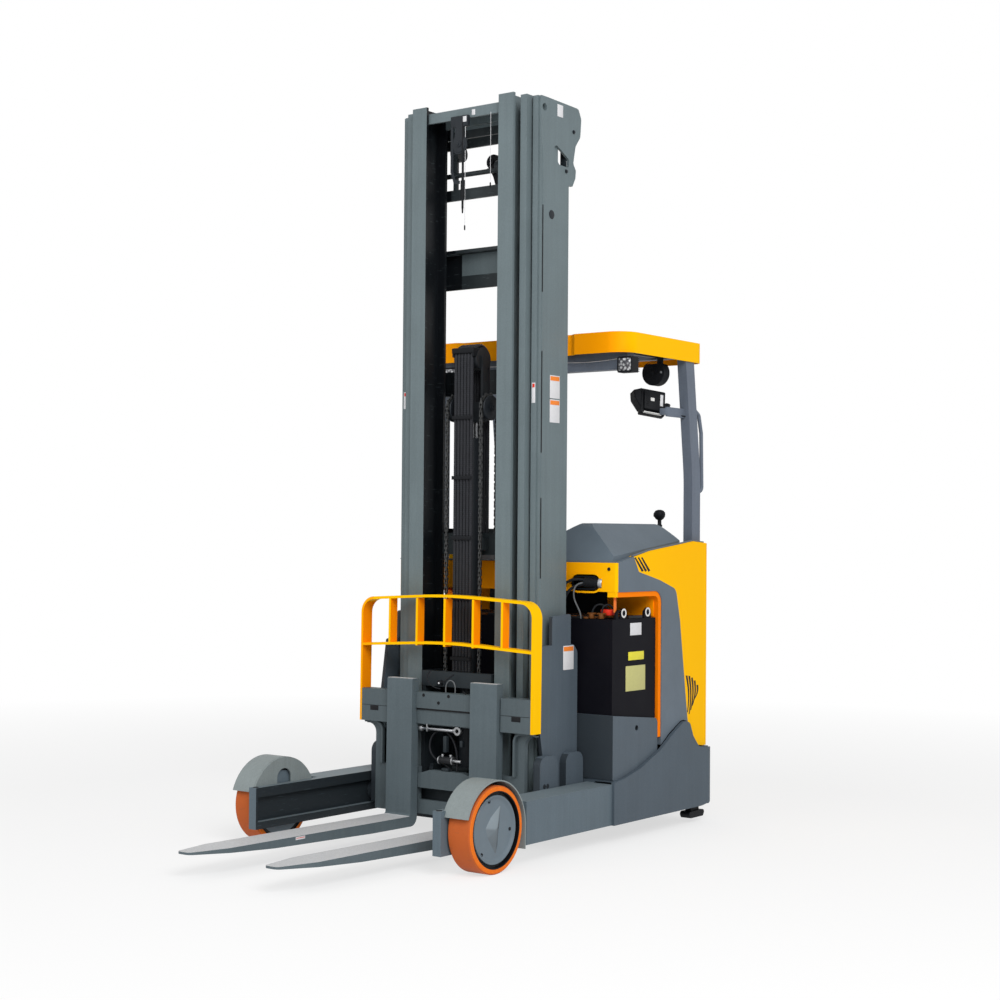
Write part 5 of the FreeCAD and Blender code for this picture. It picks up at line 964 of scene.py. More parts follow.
def mast_top_cluster():
    """Hose pulley in front of the inner mast's top beam with its link plate, bracket and hose end,
    and the guide roller behind the middle mast's upper beam."""
    shape = Shape().block((-64, 542, 3068), (30, 559.4, 3116), 0.003)
    shape.sheet([(-34, 545, 3090), (-44, 545, 3000), (-32, 545, 2982), (-6, 545, 2982), (6, 545, 3000),
                 (-2, 545, 3090)], 0.004, 0.0008)
    shape.disc((-18, 547.5, 2991), Y, 0.043, 0.006, 0.002, 40)
    shape.disc((-18, 546, 2991), Y, 0.034, 0.009, 0.002, 40)
    shape.block((-64, 543, 2870), (-50, 550, 3072), 0.002)
    shape.sheet([(-64, 545, 2880), (-50, 545, 2880), (-38, 545, 2838), (-14, 545, 2834), (-14, 545, 2820),
                 (-46, 545, 2822)], 0.004, 0.001)
    shape.done("top_hose_pulley", dark_coat, "frame_grey", "inner_stage")
    bolt = [(0.0, 0.0), (0.014, 0.0), (0.014, 0.003), (0.011, 0.005), (0.006, 0.005), (0.005, 0.008), (0.0, 0.008)]
    Shape().lathe((-18, 541.5, 2993), -Y, bolt, 24).done(
        "top_pulley_bolt", dark_coat, "chain_steel", "inner_stage")
    hose = [(0.0, 0.0), (0.003, 0.001), (0.004, 0.020), (0.0048, 0.024), (0.0048, 0.060), (0.0058, 0.066),
            (0.006, 0.110), (0.0058, 0.150), (0.005, 0.160), (0.005, 0.280), (0.006, 0.285), (0.006, 0.310),
            (0.005, 0.315), (0.005, 0.400), (0.0, 0.401)]
    shape = Shape().lathe((3, 545.5, 2690), Z, hose, 20).block((-8, 543, 2752), (14, 549, 2834), 0.002)
    shape.done("top_hose_end", black_grain, "hose_black", "inner_stage")
    shape = Shape().disc((16, 752, 2946), Y, 0.034, 0.030, 0.008, 36)
    shape.disc((16, 735.5, 2946), Y, 0.012, 0.010, 0.002, 20)
    shape.sheet([(0, 738, 2918), (34, 738, 2918), (62, 738, 2860), (62, 738, 2838), (36, 738, 2838),
                 (22, 738, 2880)], 0.008, 0.002)
    shape.block((-6, 729, 2898), (40, 742, 2918), 0.002)
    shape.done("top_roller", black_grain, "frame_grey", "middle_stage")
    blank_sign("top_tag_0", (5, 541, 3086), (24, 541.8, 3110), "inner_stage")
    blank_sign("top_tag_1", (40, 558.0, 3114), (58, 558.8, 3138), "inner_stage")


def hanging_wire(side, x, top, bottom, diameter):
    """Thin wire that hangs from the inner mast's top beam with a ferrule on its end."""
    ferrule = Shape().lathe((x, 549, bottom), Z, [(0.0, -0.014), (0.0026, -0.013), (0.0032, -0.008),
                                                  (0.0032, 0.004), (0.0022, 0.008), (0.0, 0.0085)], 16)
    ferrule = ferrule.done("top_ferrule_" + side, black_grain, "cable_grey", "inner_stage")
    lead("top_wire_" + side, [(x, 549, z) for z in (top, top - 80, bottom + 100, bottom)],
         diameter, "inner_stage", white_paper)


upright_seams()
blank_sign("mast_side_label_0", (376.2, 680, 1885), (376.9, 753, 1983), "mast_carriage", orange_paper)
blank_sign("mast_side_label_1", (376.2, 680, 1782), (376.9, 753, 1880), "mast_carriage", orange_paper)
blank_sign("mast_top_label", (376.2, 722, 3096), (376.9, 764, 3148), "mast_carriage")
blank_sign("near_rail_label", (342, 596.2, 1860), (360, 596.9, 1945), "mast_carriage", red_plastic)
blank_sign("far_rail_label", (-360, 596.2, 1860), (-342, 596.9, 1935), "mast_carriage", red_plastic)
blank_sign("reach_plate_label", (425.3, 722, 732), (426.0, 800, 834), "mast_carriage", orange_paper)
mast_fittings()
mast_top_cluster()
hanging_wire("left", 13, 3072, 2630, 0.0022)
hanging_wire("right", 150, 3112, 2800, 0.0018)


# ------------------------------------------------------------------ fork carriage and backrest
def shift_gear():
    """Side-shift rod with its eye, small cylinder with its rings and ports, and the valve plates."""
    def discs(shape, *rows):
        for place, *rest in rows:
            shape.disc(tilted(*place), *rest)
        return shape

    discs(Shape(), ((-49, 470, 468), X, 0.0075, 0.186, 0.001, 24)).done(
        "shift_rod", chrome, "rod_chrome", "fork_tilter")
    eye = [(0.009, -0.008), (0.018, -0.008), (0.020, -0.005), (0.020, 0.005), (0.018, 0.008), (0.009, 0.008),
           (0.009, -0.008)]
    shape = Shape().lathe(tilted(59, 470, 468), Y, eye, 32)
    discs(shape, ((42, 470, 468), X, 0.010, 0.014, 0.001, 6), ((-140, 470, 468), X, 0.013, 0.020, 0.002, 24))
    shape.block(tilted(-110, 462, 455), tilted(-102, 484, 500), 0.002)
    shape.done("shift_rod_eye", steel, "rod_chrome", "fork_tilter")
    discs(Shape(), ((-8, 480, 338), X, 0.016, 0.072, 0.002, 32)).done(
        "shift_cylinder", motor_black, "frame_grey", "fork_tilter")
    ring = (X, 0.0185, 0.006, 0.001, 32)
    port = (Z, 0.007, 0.012, 0.001, 6)
    discs(Shape(), ((-44, 480, 338), *ring), ((28, 480, 338), *ring), ((48, 480, 338), X, 0.007, 0.046, 0.001, 20),
          ((-30, 480, 358), *port), ((14, 480, 358), *port)).done(
        "shift_cylinder_rings", steel, "rod_chrome", "fork_tilter")
    shape = Shape()
    for lowest, highest in (((-22, 470, 372), (-4, 490, 442)), ((-26, 466, 292), (10, 486, 306)),
                            ((64, 474, 400), (80, 492, 428))):
        shape.block(tilted(*lowest), tilted(*highest), 0.003)
    shape.done("valve_block", frame_black, "frame_grey", "fork_tilter")


def fork_frame_fittings():
    """Screws, seam and knees of the fork frame."""
    shape = Shape()
    for place in ((-112, 445.4, 612), (-30, 445.4, 583), (24, 445.4, 614)):
        shape.lathe(tilted(*place), -Y, [(0.0, 0.0), (0.0055, 0.0), (0.0055, 0.001), (0.0068, 0.001),
                                         (0.0072, 0.0)], 20)
    shape.done("fork_frame_screws", stripe_black, "frame_grey", "fork_tilter")
    shape = Shape()
    knee = [(353, 300), (353, 452), (362, 472), (386, 484), (457, 484), (457, 475), (388, 475), (370, 465),
            (363, 450), (363, 300)]
    knees = Shape()
    for sign in (-1, 1):
        inner, outer = sorted((sign * 306, sign * 455))
        shape.block(tilted(inner, 439.2, 552.3), tilted(outer, 440.2, 554.0), 0.0002)
        inner, outer = sorted((sign * 361, sign * 407))
        shape.block(tilted(inner, 438.9, 531), tilted(outer, 440.4, 551.5), 0.0004)
        knees.sheet([tilted(sign * x, 500, z) for x, z in knee][::-sign], 0.040, 0.0015)
    shape.block(tilted(-152, 449, 548.5), tilted(152, 452, 556), 0.0005)
    shape.done("fork_frame_seam", stripe_black, "frame_grey", "fork_tilter")
    knees.done("fork_frame_knees", carriage_coat, "frame_grey", "fork_tilter")


shift_gear()
fork_frame_fittings()
Shape().block((-76, 494, 652), (-52, 507, 676), 0.003).done(
    "carriage_sensor", black_grain, "black_plastic", "fork_carriage")
Shape().disc((-64, 493, 664), Y, 0.004, 0.003, 0.0005, 20).done(
    "carriage_sensor_lens", white_paper, "black_plastic", "fork_carriage")
lead("carriage_lead_left", [(-118, 505, 716), (-130, 490, 700), (-118, 484, 668), (-84, 492, 640), (-60, 500, 640)],
     0.006, "fork_carriage")
lead("carriage_lead_right", [(-60, 500, 664), (-40, 488, 668), (-10, 488, 686), (10, 504, 704)],
     0.006, "fork_carriage")
lead("carriage_lead_low", [tilted(84, 462, 632), tilted(96, 456, 640), tilted(112, 452, 626),
                           tilted(116, 452, 600)], 0.004, "fork_tilter")
shape = Shape()
for side, sign in SIDES:
    for z in (512, 598):
        shape.bolt((sign * 462.4, 496, z), X * sign, 0.013, 0.0035)
shape.done("backrest_bolts", white_ring, "frame_grey", "fork_tilter")
blank_sign("far_fork_label", (-156.8, -290, 86), (-156.2, -236, 98), "fork_tilter", red_plastic)


# ------------------------------------------------------------------ hoses at the cowl
def ribbed_sleeve():
    """Corrugated sleeve with a silver clamp where the hoses leave the cowl's slot."""
    direction = Vector((-0.96, -0.26, 0.05)).normalized()
    start = spot(505, 875.3, 1098.5)
    ribs = 9
    pitch = 0.0072
    profile = [(0.0, 0.0)]
    for index in range(ribs):
        base = index * pitch
        profile += [(0.0206, base), (0.0222, base + 0.0018), (0.0222, base + 0.0048), (0.0206, base + 0.0066)]
    profile += [(0.0206, 0.0672), (0.0, 0.0672)]
    Shape().lathe(start, direction, profile, 36).done("sleeve_ribs", black_grain, "hose_black")
    clamp = [(0.0, -0.012), (0.023, -0.012), (0.0245, -0.009), (0.0245, 0.004), (0.023, 0.006), (0.0, 0.006)]
    Shape().lathe(start - direction * 0.004, direction, clamp, 36).done("sleeve_clamp", steel, "rod_chrome")


def slot_rim(name, grow, wide, proud, finish, slot):
    """Raised oval rim round the hose slot in the cowl; every size is in millimetres."""
    straight = 39.0
    half_height = 21.0 + grow
    rings = []
    for reach, lift in ((half_height, 0.0), (half_height, proud), (half_height + wide, proud),
                        (half_height + wide, 0.0)):
        angles = [2 * math.pi * index / 48 for index in range(48)]
        rings.append([spot(442 + math.copysign(straight, math.cos(a)) + reach * math.cos(a), 865.4 - lift,
                           1100 + reach * math.sin(a)) for a in angles])
    Shape().bridged(rings).done(name, finish, slot)


ribbed_sleeve()
slot_rim("cowl_slot_rim", 2.0, 7.0, 3.0, black_grain, "black_plastic")
slot_rim("cowl_slot_relief", 15.0, 8.0, 1.6, cowl_orange, "orange")
shape = Shape().lathe((318, 865.6, 1140), -Y, [(0.0, 0.0), (0.006, 0.0), (0.006, 0.001), (0.008, 0.0012),
                                               (0.009, 0.0)], 24)
for x in (-520, -330, 160, 560):
    shape.lathe((x, 865.6, 1160), -Y, [(0.0, 0.0), (0.008, 0.0), (0.008, 0.001), (0.007, 0.003), (0.0, 0.004)], 20)
shape.done("cowl_screws", stripe_black, "orange")


# ------------------------------------------------------------------ battery
def battery_top():
    """Vent caps, cell links, terminals, plug and strap on the battery's top."""
    cell_x = 110
    cell_y = 58
    caps = Shape()
    links = Shape()
    for y in range(880, 880 + 6 * cell_y, cell_y):
        for x in range(-440, -440 + 9 * cell_x, cell_x):
            caps.disc((x, y, battery_z + 4), Z, 0.017, 0.010, 0.003, 20)
        for x in range(-418, -418 + 8 * cell_x, cell_x):
            links.block((x, y - 10, battery_z), (x + 66, y + 4, battery_z + 9), 0.002)
    caps.done("battery_caps", terminal_brown, "battery_case")
    links.done("battery_links", motor_black, "battery_case")
    shape = Shape()
    for x in (470, 520):
        shape.disc((x, 870, battery_z + 12), Z, 0.012, 0.020, 0.002, 24)
        shape.block((x - 18, 862, battery_z + 20), (x + 18, 884, battery_z + 27), 0.002)
    shape.done("battery_terminals", terminal_brown, "battery_case")
    Shape().block((505, 884, battery_z + 16), (556, 922, battery_z + 42), 0.004).done(
        "battery_plug", red_plastic, "battery_case")
    Shape().block((572, 884, 975), (576, 902, 1040), 0.001).done("battery_strap", orange_strap, "battery_case")


def battery_sides():
    """Lifting lugs with their rings, grip and blank labels on the battery's ends."""
    lugs = Shape()
    rings = Shape()
    lug = ((-26, 1), (-24, 26), (-14, 46), (14, 46), (24, 26), (26, 1))
    ring = [(0.0125, -0.0004), (0.0195, -0.0004), (0.020, 0.0012), (0.0185, 0.0022), (0.014, 0.0022),
            (0.0125, 0.0012), (0.0125, -0.0004)]
    for side, sign in SIDES:
        for y in (940, 1133):
            lugs.sheet([(sign * (battery_x - 6), y + away, battery_z + rise) for away, rise in lug][::-sign],
                       0.006, 0.001)
            lugs.disc((sign * (battery_x + 0.2), y, battery_z + 26), X, 0.0128, 0.0008, 0, 36)
            rings.lathe((sign * (battery_x + 0.4), y, battery_z + 26), X * sign, ring, 36)
    lugs.done("battery_lugs", battery_black, "battery_case")
    rings.done("battery_rings", white_ring, "battery_case")
    Shape().block((battery_x - 10, 985, battery_z + 1), (battery_x - 1, 1095, battery_z + 14), 0.003).done(
        "battery_grip", hose_cover, "battery_case")
    for name, y0, z0, y1, z1, paper in (("white", 992, 874, 1082, 927, white_paper),
                                        ("yellow", 978, 767, 1103, 803, yellow_paper),
                                        ("pale", 958, 635, 1115, 743, pale_paper)):
        blank_sign("battery_label_" + name, (battery_x, y0, z0), (battery_x + 0.8, y1, z1), "chassis", None, paper)


battery_x = high("battery").x / MM
battery_z = high("battery").z / MM - 40.0
battery_top()
battery_sides()
lead("battery_lead_far", [(470, 872, 965), (474, 874, 990), (496, 880, 1010), (520, 900, 1004), (530, 912, 984)],
     0.008)
lead("battery_lead_black", [(520, 872, 965), (524, 870, 996), (540, 880, 1010), (552, 904, 1002), (552, 914, 984)],
     0.008)


# ------------------------------------------------------------------ panels and decals
def stripe(name, outline):
    """Thin black decal on both side panels, from a (y, z) outline."""
    surface = high("side_panel_left").x / MM + 0.1
    shape = Shape()
    for side, sign in SIDES:
        shape.sheet([(sign * surface, y, z) for y, z in outline][::sign], 0.0004)
    shape.done(name, stripe_black, "yellow")


def rear_stripe(index, tall):
    """One of the fan of curved stripes at the panel's rear edge, narrower towards its foot."""
    front = []
    back = []
    for step in range(11):
        share = step / 10
        y = 1440 + index * 24 + 14 * math.sin(math.pi * share) + (14 - 10 * index) * share
        z = 676 - 3 * index * index - tall * share
        front.append((y, z))
        back.append((y + 15 * (1 - 0.5 * share), z))
    stripe("rear_stripe_%d" % index, front + back[::-1])


for index in range(3):
    y = 1004 + index * 27
    stripe("front_stripe_%d" % index, [(y, 1208), (y + 10, 1211), (y + 76, 1152), (y + 61, 1146)])
for index, tall in enumerate((166, 172, 146, 112, 66)):
    rear_stripe(index, tall)

shape = Shape()
panel_top = [(1001, 1213), (1130, 1238), (1384, 1267), (1498, 1281.5), (1600, 1275)]
for side, sign in SIDES:
    for (y0, z0), (y1, z1) in zip(panel_top, panel_top[1:]):
        shape.sheet([(sign * 585, y, z) for y, z in ((y0, z0), (y1, z1), (y1, z1 + 5), (y0, z0 + 5))][::sign],
                    0.013, 0.001)
shape.done("panel_edge_strips", cover_grain, "grey_cover")
Shape().block((-596, 1360, 352), (-572.5, 1380, 380), 0.002).done("panel_clip", black_grain, "black_plastic")
# Painted shade: black sheets inside the battery bay, at its middle, ceiling and back, stand in for the shade there.
shape = Shape().block((-6, 884, 950), (6, 1196, 1164), 0.002).block((-560, 884, 1158), (560, 1203, 1164), 0.002)
shape.block((-330, 1204, 950), (330, 1212, 1160), 0.002)
shape.done("battery_bay_shade_liner", black_grain, "black_plastic")
Shape().pair((331, 1204, 950), (572, 1212, 1160), 0.002).done("battery_bay_back", bay_orange, "orange")


# ------------------------------------------------------------------ overhead guard
def lamp_details(side, x):
    """Rounded frame, reflectors and heat fins of a work lamp."""
    Shape().block((x - 31, 979.6, 2017), (x + 31, 981.2, 2071), 0.0004).done(
        "lamp_face_" + side, lamp_cups, "black_plastic")
    rings = []
    for inset, front in ((0.0, 984.0), (0.0, 979.0), (3.0, 977.4), (7.0, 978.0), (7.5, 984.0)):
        corner = 12.0 - inset * 0.8
        reach = 39.0 - inset - corner
        ring = []
        for quarter, (across, up) in enumerate(((1, 1), (-1, 1), (-1, -1), (1, -1))):
            for step in range(6):
                angle = math.pi / 2 * (quarter + step / 5)
                ring.append(spot(x + across * reach + corner * math.cos(angle), front,
                                 2044 + up * (reach - 3.5) + corner * math.sin(angle)))
        rings.append(ring)
    Shape().bridged(rings).done("lamp_frame_" + side, black_grain, "black_plastic")
    fins = Shape()
    for z in range(2016, 2071, 9):
        fins.block((x - 33, 1036, z), (x + 33, 1048, z + 3), 0.0008)
    fins.done("lamp_fins_" + side, black_grain, "black_plastic")


def fan_guard():
    """Wire grille, hub and screw on the front of the cab fan."""
    centre = spot(450, 1388, 2045)
    wire = 0.0012
    shape = Shape()
    for radius in (0.016, 0.026, 0.036, 0.046, 0.053):
        ring = [(radius + wire * math.cos(math.pi * i / 4), wire * math.sin(math.pi * i / 4)) for i in range(9)]
        shape.lathe(centre + Y * 0.0008, Y, ring, 36)
    for index in range(6):
        angle = math.pi * index / 6
        half = 0.053 if abs(math.sin(angle)) < 0.75 else 0.039
        shape.disc(centre - Y * 0.0005, X * math.cos(angle) + Z * math.sin(angle), wire, 2 * half, 0, 8)
    shape.disc(centre - Y * 0.001, Y, 0.010, 0.005, 0.001, 24)
    shape.done("fan_grille", black_grain, "black_plastic")
    Shape().bolt(centre + X * 0.044, -Y, 0.008, 0.003).done("fan_screw", steel, "black_plastic")


lamp_details("left", 560.0)
lamp_details("right", -400.0)
shape = Shape()
for x in range(-400, 401, 200):
    shape.block((x - 14, 1050, 2122), (x + 14, 1530, 2132), 0.002)
shape.done("roof_ribs", dark_coat, "frame_grey")
lead("roof_wire", [(540, 1037, 2082), (470, 1036, 2074), (330, 1036, 2068), (180, 1036, 2074), (40, 1036, 2070),
                   (-160, 1036, 2075), (-360, 1037, 2080)], 0.003, "chassis", white_paper)
fan_guard()


# ------------------------------------------------------------------ monitor
monitor_place = (Matrix.Translation(spot(430, 1410, 1905)) @ Matrix.Rotation(math.radians(55), 4, "Z")
                 @ Matrix.Rotation(math.radians(-18), 4, "X") @ Matrix.Rotation(math.radians(9), 4, "Y"))


def monitor_part(name, finish, shape):
    """Places a part that was made in millimetres about the monitor's own centre."""
    shape.moved(monitor_place, shape.bm.verts[:]).done("monitor_" + name, finish, "black_plastic")


def own(*lengths):
    """Point on the monitor's own axes, from millimetres."""
    return Vector(lengths) * MM


monitor_arm = Shape().block((526, 1372, 1843), (536, 1602, 1886), 0.002)
monitor_arm.block((500, 1366, 1850), (534, 1378, 1880), 0.002)
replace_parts(monitor_arm.done("monitor_arm", post_coat, "frame_grey"), "monitor")
Shape().sheet([(530, 1520, 1842), (530, 1600, 1842), (530, 1600, 1796)], 0.004, 0.001).done(
    "monitor_gusset", black_grain, "black_plastic")
housing = Shape().block(own(-60, -22, -58), own(60, 22, 62), 0.007)
housing.block(own(-50, -40, -46), own(50, -20, 52), 0.007)
housing.sheet([own(-58, 26, 60), own(-96, 26, 44), own(-92, 26, 6), own(-58, 26, -40)], 0.052, 0.004)
monitor_part("housing", black_grain, housing)
monitor_blocks = (
    ("glass", screen_black, (-52, 22, -50), (52, 23.5, 52), 0.0006),
    ("hood", black_grain, (-62, 20, 56), (62, 46, 63), 0.002),
    ("label_white", white_paper, (26, -41.2, -22), (40, -40.2, 34), 0.0002),
    ("label_grey", white_ring, (-20, -41.2, -4), (-2, -40.2, 12), 0.0002),
    ("foot_strip", white_ring, (-48, -34, -60), (40, -18, -56), 0.0006),
)
for name, finish, lowest, highest, edge in monitor_blocks:
    monitor_part(name, finish, Shape().block(own(*lowest), own(*highest), edge))
vents = Shape()
for z in range(-30, 31, 10):
    vents.block(own(-42, -42, z), own(-28, -40, z + 4), 0.0006)
vents.disc(own(66, -16, -8), Y, 0.014, 0.024, 0.002, 28).disc(own(70, -32, -8), Y, 0.008, 0.012, 0.001, 20)
monitor_part("vents", black_grain, vents)


# ------------------------------------------------------------------ driver's seat
def pad(lowest, highest, crown_axis, crown, pinch, channels):
    """Closed pad between two corners: its face is crowned, its sides are pulled in, and channels are pressed
    into it, each given as its axis, its place as a share of the half size, its width and its depth."""
    cuts = 14
    corner_pull = 0.05
    size = highest - lowest
    shape = Shape()
    made = bmesh.ops.create_cube(shape.bm, size=1.0)
    bmesh.ops.scale(shape.bm, vec=size, verts=made["verts"])
    bmesh.ops.subdivide_edges(shape.bm, edges=shape.bm.edges[:], cuts=cuts, use_grid_fill=True)
    others = [i for i in range(3) if i != crown_axis]
    for vert in shape.bm.verts:
        share = [vert.co[i] / (size[i] / 2) for i in range(3)]
        first, second = (share[i] for i in others)
        up = share[crown_axis]
        if up > 0:
            vert.co[crown_axis] += ((1 - first ** 2) * (1 - second ** 2) - 1) * crown * up
            for axis, centre, width, depth in channels:
                vert.co[crown_axis] -= depth * math.exp(-((share[axis] - centre) / width) ** 2) * up
        for i in others:
            vert.co[i] *= 1 - pinch * (1 - up ** 2)
            vert.co[i] *= 1 - corner_pull * abs(first * second) ** 3
    bmesh.ops.translate(shape.bm, vec=(highest + lowest) / 2, verts=shape.bm.verts[:])
    return shape


def cushion(node, shape):
    """Padded piece in place of a seat solid."""
    piece = shape.done(node + "_pad", vinyl, "seat_black", sharp=180)
    rounding = piece.modifiers.new("rounding", "SUBSURF")
    rounding.levels = 2
    rounding.render_levels = 2
    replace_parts(piece, node)


margin = Vector((0.004, 0.004, 0.001))
cushion("seat_cushion", pad(low("seat_cushion") + margin, high("seat_cushion") - margin, 2, 0.026, 0.018,
                            ((1, -0.62, 0.07, 0.012), (1, 0.62, 0.07, 0.012), (0, -0.35, 0.05, 0.007),
                             (0, 0.2, 0.05, 0.007))))
back_low = low("seat_back")
back_high = high("seat_back")
BACK_THICKNESS = 0.062
BACK_LEAN = 0.038
back = pad(Vector((back_high.x - BACK_THICKNESS - 0.002, back_low.y + 0.004, back_low.z + 0.002)),
           back_high - Vector((0.002, 0.004, 0.004)), 0, 0.020, 0.02,
           ((1, -0.66, 0.07, 0.010), (1, 0.66, 0.07, 0.010), (2, -0.25, 0.05, 0.006), (2, 0.3, 0.05, 0.006)))
for vert in back.bm.verts:
    vert.co.x -= BACK_LEAN * (vert.co.z - back_low.z) / (back_high.z - back_low.z)
cushion("seat_back", back)
lead("monitor_cable", [(500, 1440, 1880), (520, 1460, 1866), (536, 1500, 1850), (544, 1560, 1852),
                       (544, 1600, 1880)], 0.006)
Shape().sheet([(-534, 1262, 760), (-534, 1526, 760), (-566, 1526, 1270), (-566, 1262, 1270)], 0.010, 0.002).done(
    "seat_back_shell", black_grain, "black_plastic")


# ------------------------------------------------------------------ controls
def console_top():
    """Bezel, screen, buttons and emergency switch on the console."""
    top = 1177.0
    shape = Shape().block((420, 1290, top), (556, 1440, top + 5), 0.004)
    shape.block((430, 1470, top), (556, 1600, top + 3), 0.003).done(
        "console_bezel", black_grain, "black_plastic")
    Shape().block((434, 1304, top + 5), (542, 1400, top + 6), 0.0004).done(
        "console_screen", screen_black, "black_plastic")
    buttons = Shape()
    for x in range(444, 533, 22):
        buttons.disc((x, 1418, top + 6), Z, 0.007, 0.004, 0.001, 20)
    buttons.done("console_buttons", white_ring, "black_plastic")
    Shape().disc((400, 1300, top + 6), Z, 0.018, 0.014, 0.003, 32).disc(
        (400, 1300, top + 16), Z, 0.014, 0.010, 0.002, 32).done(
            "emergency_switch", red_plastic, "black_plastic")


def footwell():
    """Pedals' treads and the floor's ribbed mat."""
    treads = 7
    shape = Shape()
    for index in range(treads):
        y = 1306 + index * 100 / (treads - 1)
        shape.block((256, y, 375), (324, y + 8, 378.5), 0.001)
    shape.block((140, 1300, 345), (210, 1420, 362), 0.004)
    for index in range(treads):
        y = 1306 + index * 16.5
        shape.block((146, y, 362), (204, y + 8, 365.5), 0.001)
    shape.done("pedal_treads", hose_cover, "black_plastic")
    shape = Shape().block((-20, 1232, 345), (262, 1600, 348), 0.001)
    for y in range(1246, 1566, 29):
        for x in range(-8, 233, 30):
            shape.block((x, y, 348), (x + 18, y + 6, 349.4), 0.0004)
    shape.done("floor_mat", hose_cover, "black_plastic")


cap_centre = middle("steering_wheel")
cap_centre.z = low("steering_wheel").z + 0.032
Shape().lathe(cap_centre, Z, [(0.0, 0.006), (0.012, 0.006), (0.022, 0.003), (0.0265, 0.0), (0.0, 0.0)], 40).done(
    "steering_cap", cover_grain, "black_plastic", "steering")
spinner = Shape().lathe((356, 1606, 1347), Z, [
    (0.0, 0.0), (0.013, 0.0), (0.013, 0.006), (0.009, 0.012), (0.009, 0.030), (0.018, 0.036), (0.025, 0.046),
    (0.027, 0.056), (0.026, 0.066), (0.019, 0.075), (0.008, 0.079), (0.0, 0.0795)], 32)
spinner.block((330, 1590, 1392), (344, 1618, 1412), 0.005).done(
    "spinner_grip", black_grain, "black_plastic", "steering")
console_top()
footwell()


# ------------------------------------------------------------------ rear
def rear_fittings():
    """Louvres, tail lamps, screws and step tread at the truck's rear."""
    shape = Shape()
    for z in range(900, 1083, 26):
        shape.sheet([(-480, 1640, z), (-160, 1640, z), (-160, 1646, z + 10), (-480, 1646, z + 10)], 0.003, 0.0006)
    shape.done("rear_louvres", black_grain, "black_plastic")
    shape = Shape().block((-560, 1640, 1080), (-520, 1650, 1160), 0.004)
    shape.block((500, 1640, 1120), (540, 1650, 1200), 0.004).done("tail_lamps", red_plastic, "black_plastic")
    shape = Shape()
    for x, z in ((-560, 440), (-52, 440), (-560, 1150), (-52, 1150), (-560, 800), (-52, 800), (412, 360),
                 (560, 360), (412, 1220)):
        shape.bolt((x, 1640, z), Y, 0.013, 0.004)
    shape.done("rear_screws", dark_coat, "frame_grey")
    shape = Shape()
    for y in (1608, 1618, 1628):
        for x in range(-20, 355, 34):
            shape.block((x, y, 345), (x + 16, y + 4, 347.5), 0.0006)
    shape.done("step_tread", hose_cover, "black_plastic")


rear_fittings()
pull_handle_route = ((-390, 1640, 620), (-390, 1656, 624), (-380, 1668, 628), (-320, 1668, 628),
                     (-260, 1668, 628), (-250, 1656, 624), (-250, 1640, 620))
line("rear_pull_handle", [spot(*p) for p in pull_handle_route], 0.012, "chassis", black_grain)


# ------------------------------------------------------------------ studio
AMBIENT = 0.48
FLOOR_HALF = 60.0
FLOOR_TONE = (0.93, 0.93, 0.93, 1)
# The floor's own glow, which only the camera and reflections see, grows with the distance from the truck
# until it is as white as the surroundings.
GLOW_NEAR = 0.66
GLOW_START = 2.6
GLOW_END = 7.0


def surroundings():
    """White surroundings that light the truck softly."""
    world = bpy.data.worlds.new("studio")
    bpy.context.scene.world = world
    tree = Tree(world)
    tree.tree.nodes.clear()
    ambient, white = (tree.node("ShaderNodeBackground", None, {"Color": (1.0, 1.0, 1.0, 1), "Strength": strength})
                      for strength in (AMBIENT, 1.0))
    seen = tree.ray("Camera").most(tree.ray("Glossy")).most(tree.ray("Transmission"))
    tree.blended("ShaderNodeOutputWorld", seen, ambient, white)


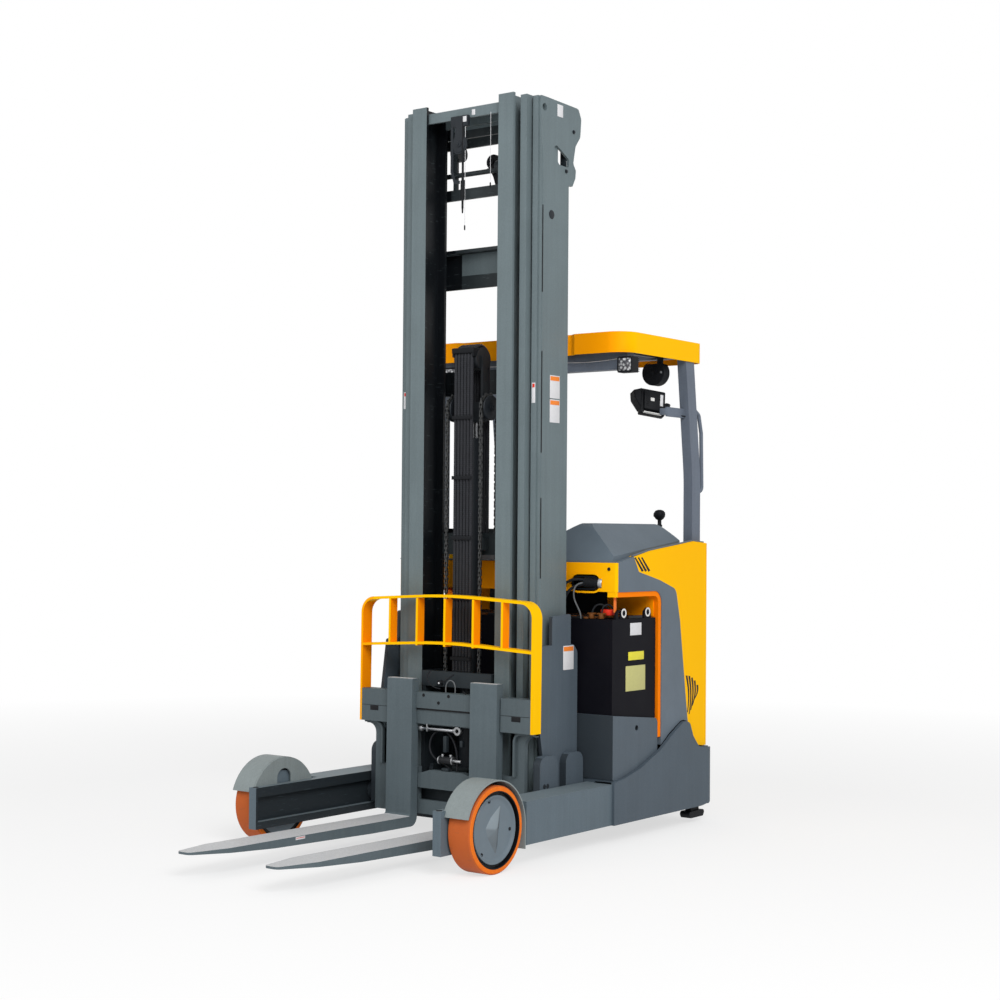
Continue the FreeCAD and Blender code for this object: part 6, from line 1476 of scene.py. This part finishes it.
def pale_floor():
    """Plain pale floor that fades into the surroundings."""
    mesh = bpy.data.meshes.new("studio_floor")
    bm = bmesh.new()
    bmesh.ops.create_grid(bm, x_segments=1, y_segments=1, size=FLOOR_HALF)
    bm.to_mesh(mesh)
    bm.free()
    floor = bpy.data.objects.new("studio_floor", mesh)
    bpy.context.collection.objects.link(floor)
    paint = bpy.data.materials.new("pale_floor")
    mesh.materials.append(paint)
    tree = Tree(paint)
    tree.tree.nodes.clear()
    away = tree.node("ShaderNodeVectorMath", {"operation": "LENGTH"}, {0: tree.place()}, "Value")
    fade = away.within(GLOW_START, GLOW_END, GLOW_NEAR, 1.0)
    matte = tree.node("ShaderNodeBsdfDiffuse", None, {"Color": FLOOR_TONE})
    glow = tree.node("ShaderNodeEmission")
    tree.blended("ShaderNodeOutputMaterial", tree.ray("Camera").most(tree.ray("Glossy")) * fade, matte, glow)


def lamp(name, place, target, power):
    """Large soft lamp that faces a point."""
    data = bpy.data.lights.new(name, "AREA")
    data.shape = "SQUARE"
    data.size = 5.0
    data.energy = power
    obj = bpy.data.objects.new(name, data)
    bpy.context.collection.objects.link(obj)
    aim = (Vector(target) - Vector(place)).to_track_quat("-Z", "Y")
    obj.matrix_world = Matrix.Translation(place) @ aim.to_matrix().to_4x4()


def camera():
    """Standing viewpoint off the truck's front left corner, at chest height."""
    azimuth = math.radians(36.717)
    pitch = math.radians(1.205)
    roll = math.radians(0.435)
    forward = Vector((-math.sin(azimuth) * math.cos(pitch), math.cos(azimuth) * math.cos(pitch), math.sin(pitch)))
    right = Vector((math.cos(azimuth), math.sin(azimuth), 0))
    up = right.cross(forward)
    across = math.cos(roll) * right + math.sin(roll) * up
    upright = math.cos(roll) * up - math.sin(roll) * right
    data = bpy.data.cameras.new("camera")
    data.lens = 63.284
    data.sensor_width = 36.0
    data.clip_end = 200.0
    obj = bpy.data.objects.new("camera", data)
    bpy.context.collection.objects.link(obj)
    turn = Matrix((across, upright, -forward)).transposed().to_4x4()
    obj.matrix_world = Matrix.Translation(spot(4664.45, -5417.32, 1293.5)) @ turn
    bpy.context.scene.camera = obj


surroundings()
pale_floor()
lamp("key_lamp", (7.0, -5.0, 6.5), (0, 0, 1.2), 640.0)
lamp("front_lamp", (-2.5, -8.5, 5.0), (0, -0.5, 1.2), 170.0)
camera()
bpy.context.scene.view_settings.view_transform = "Standard"
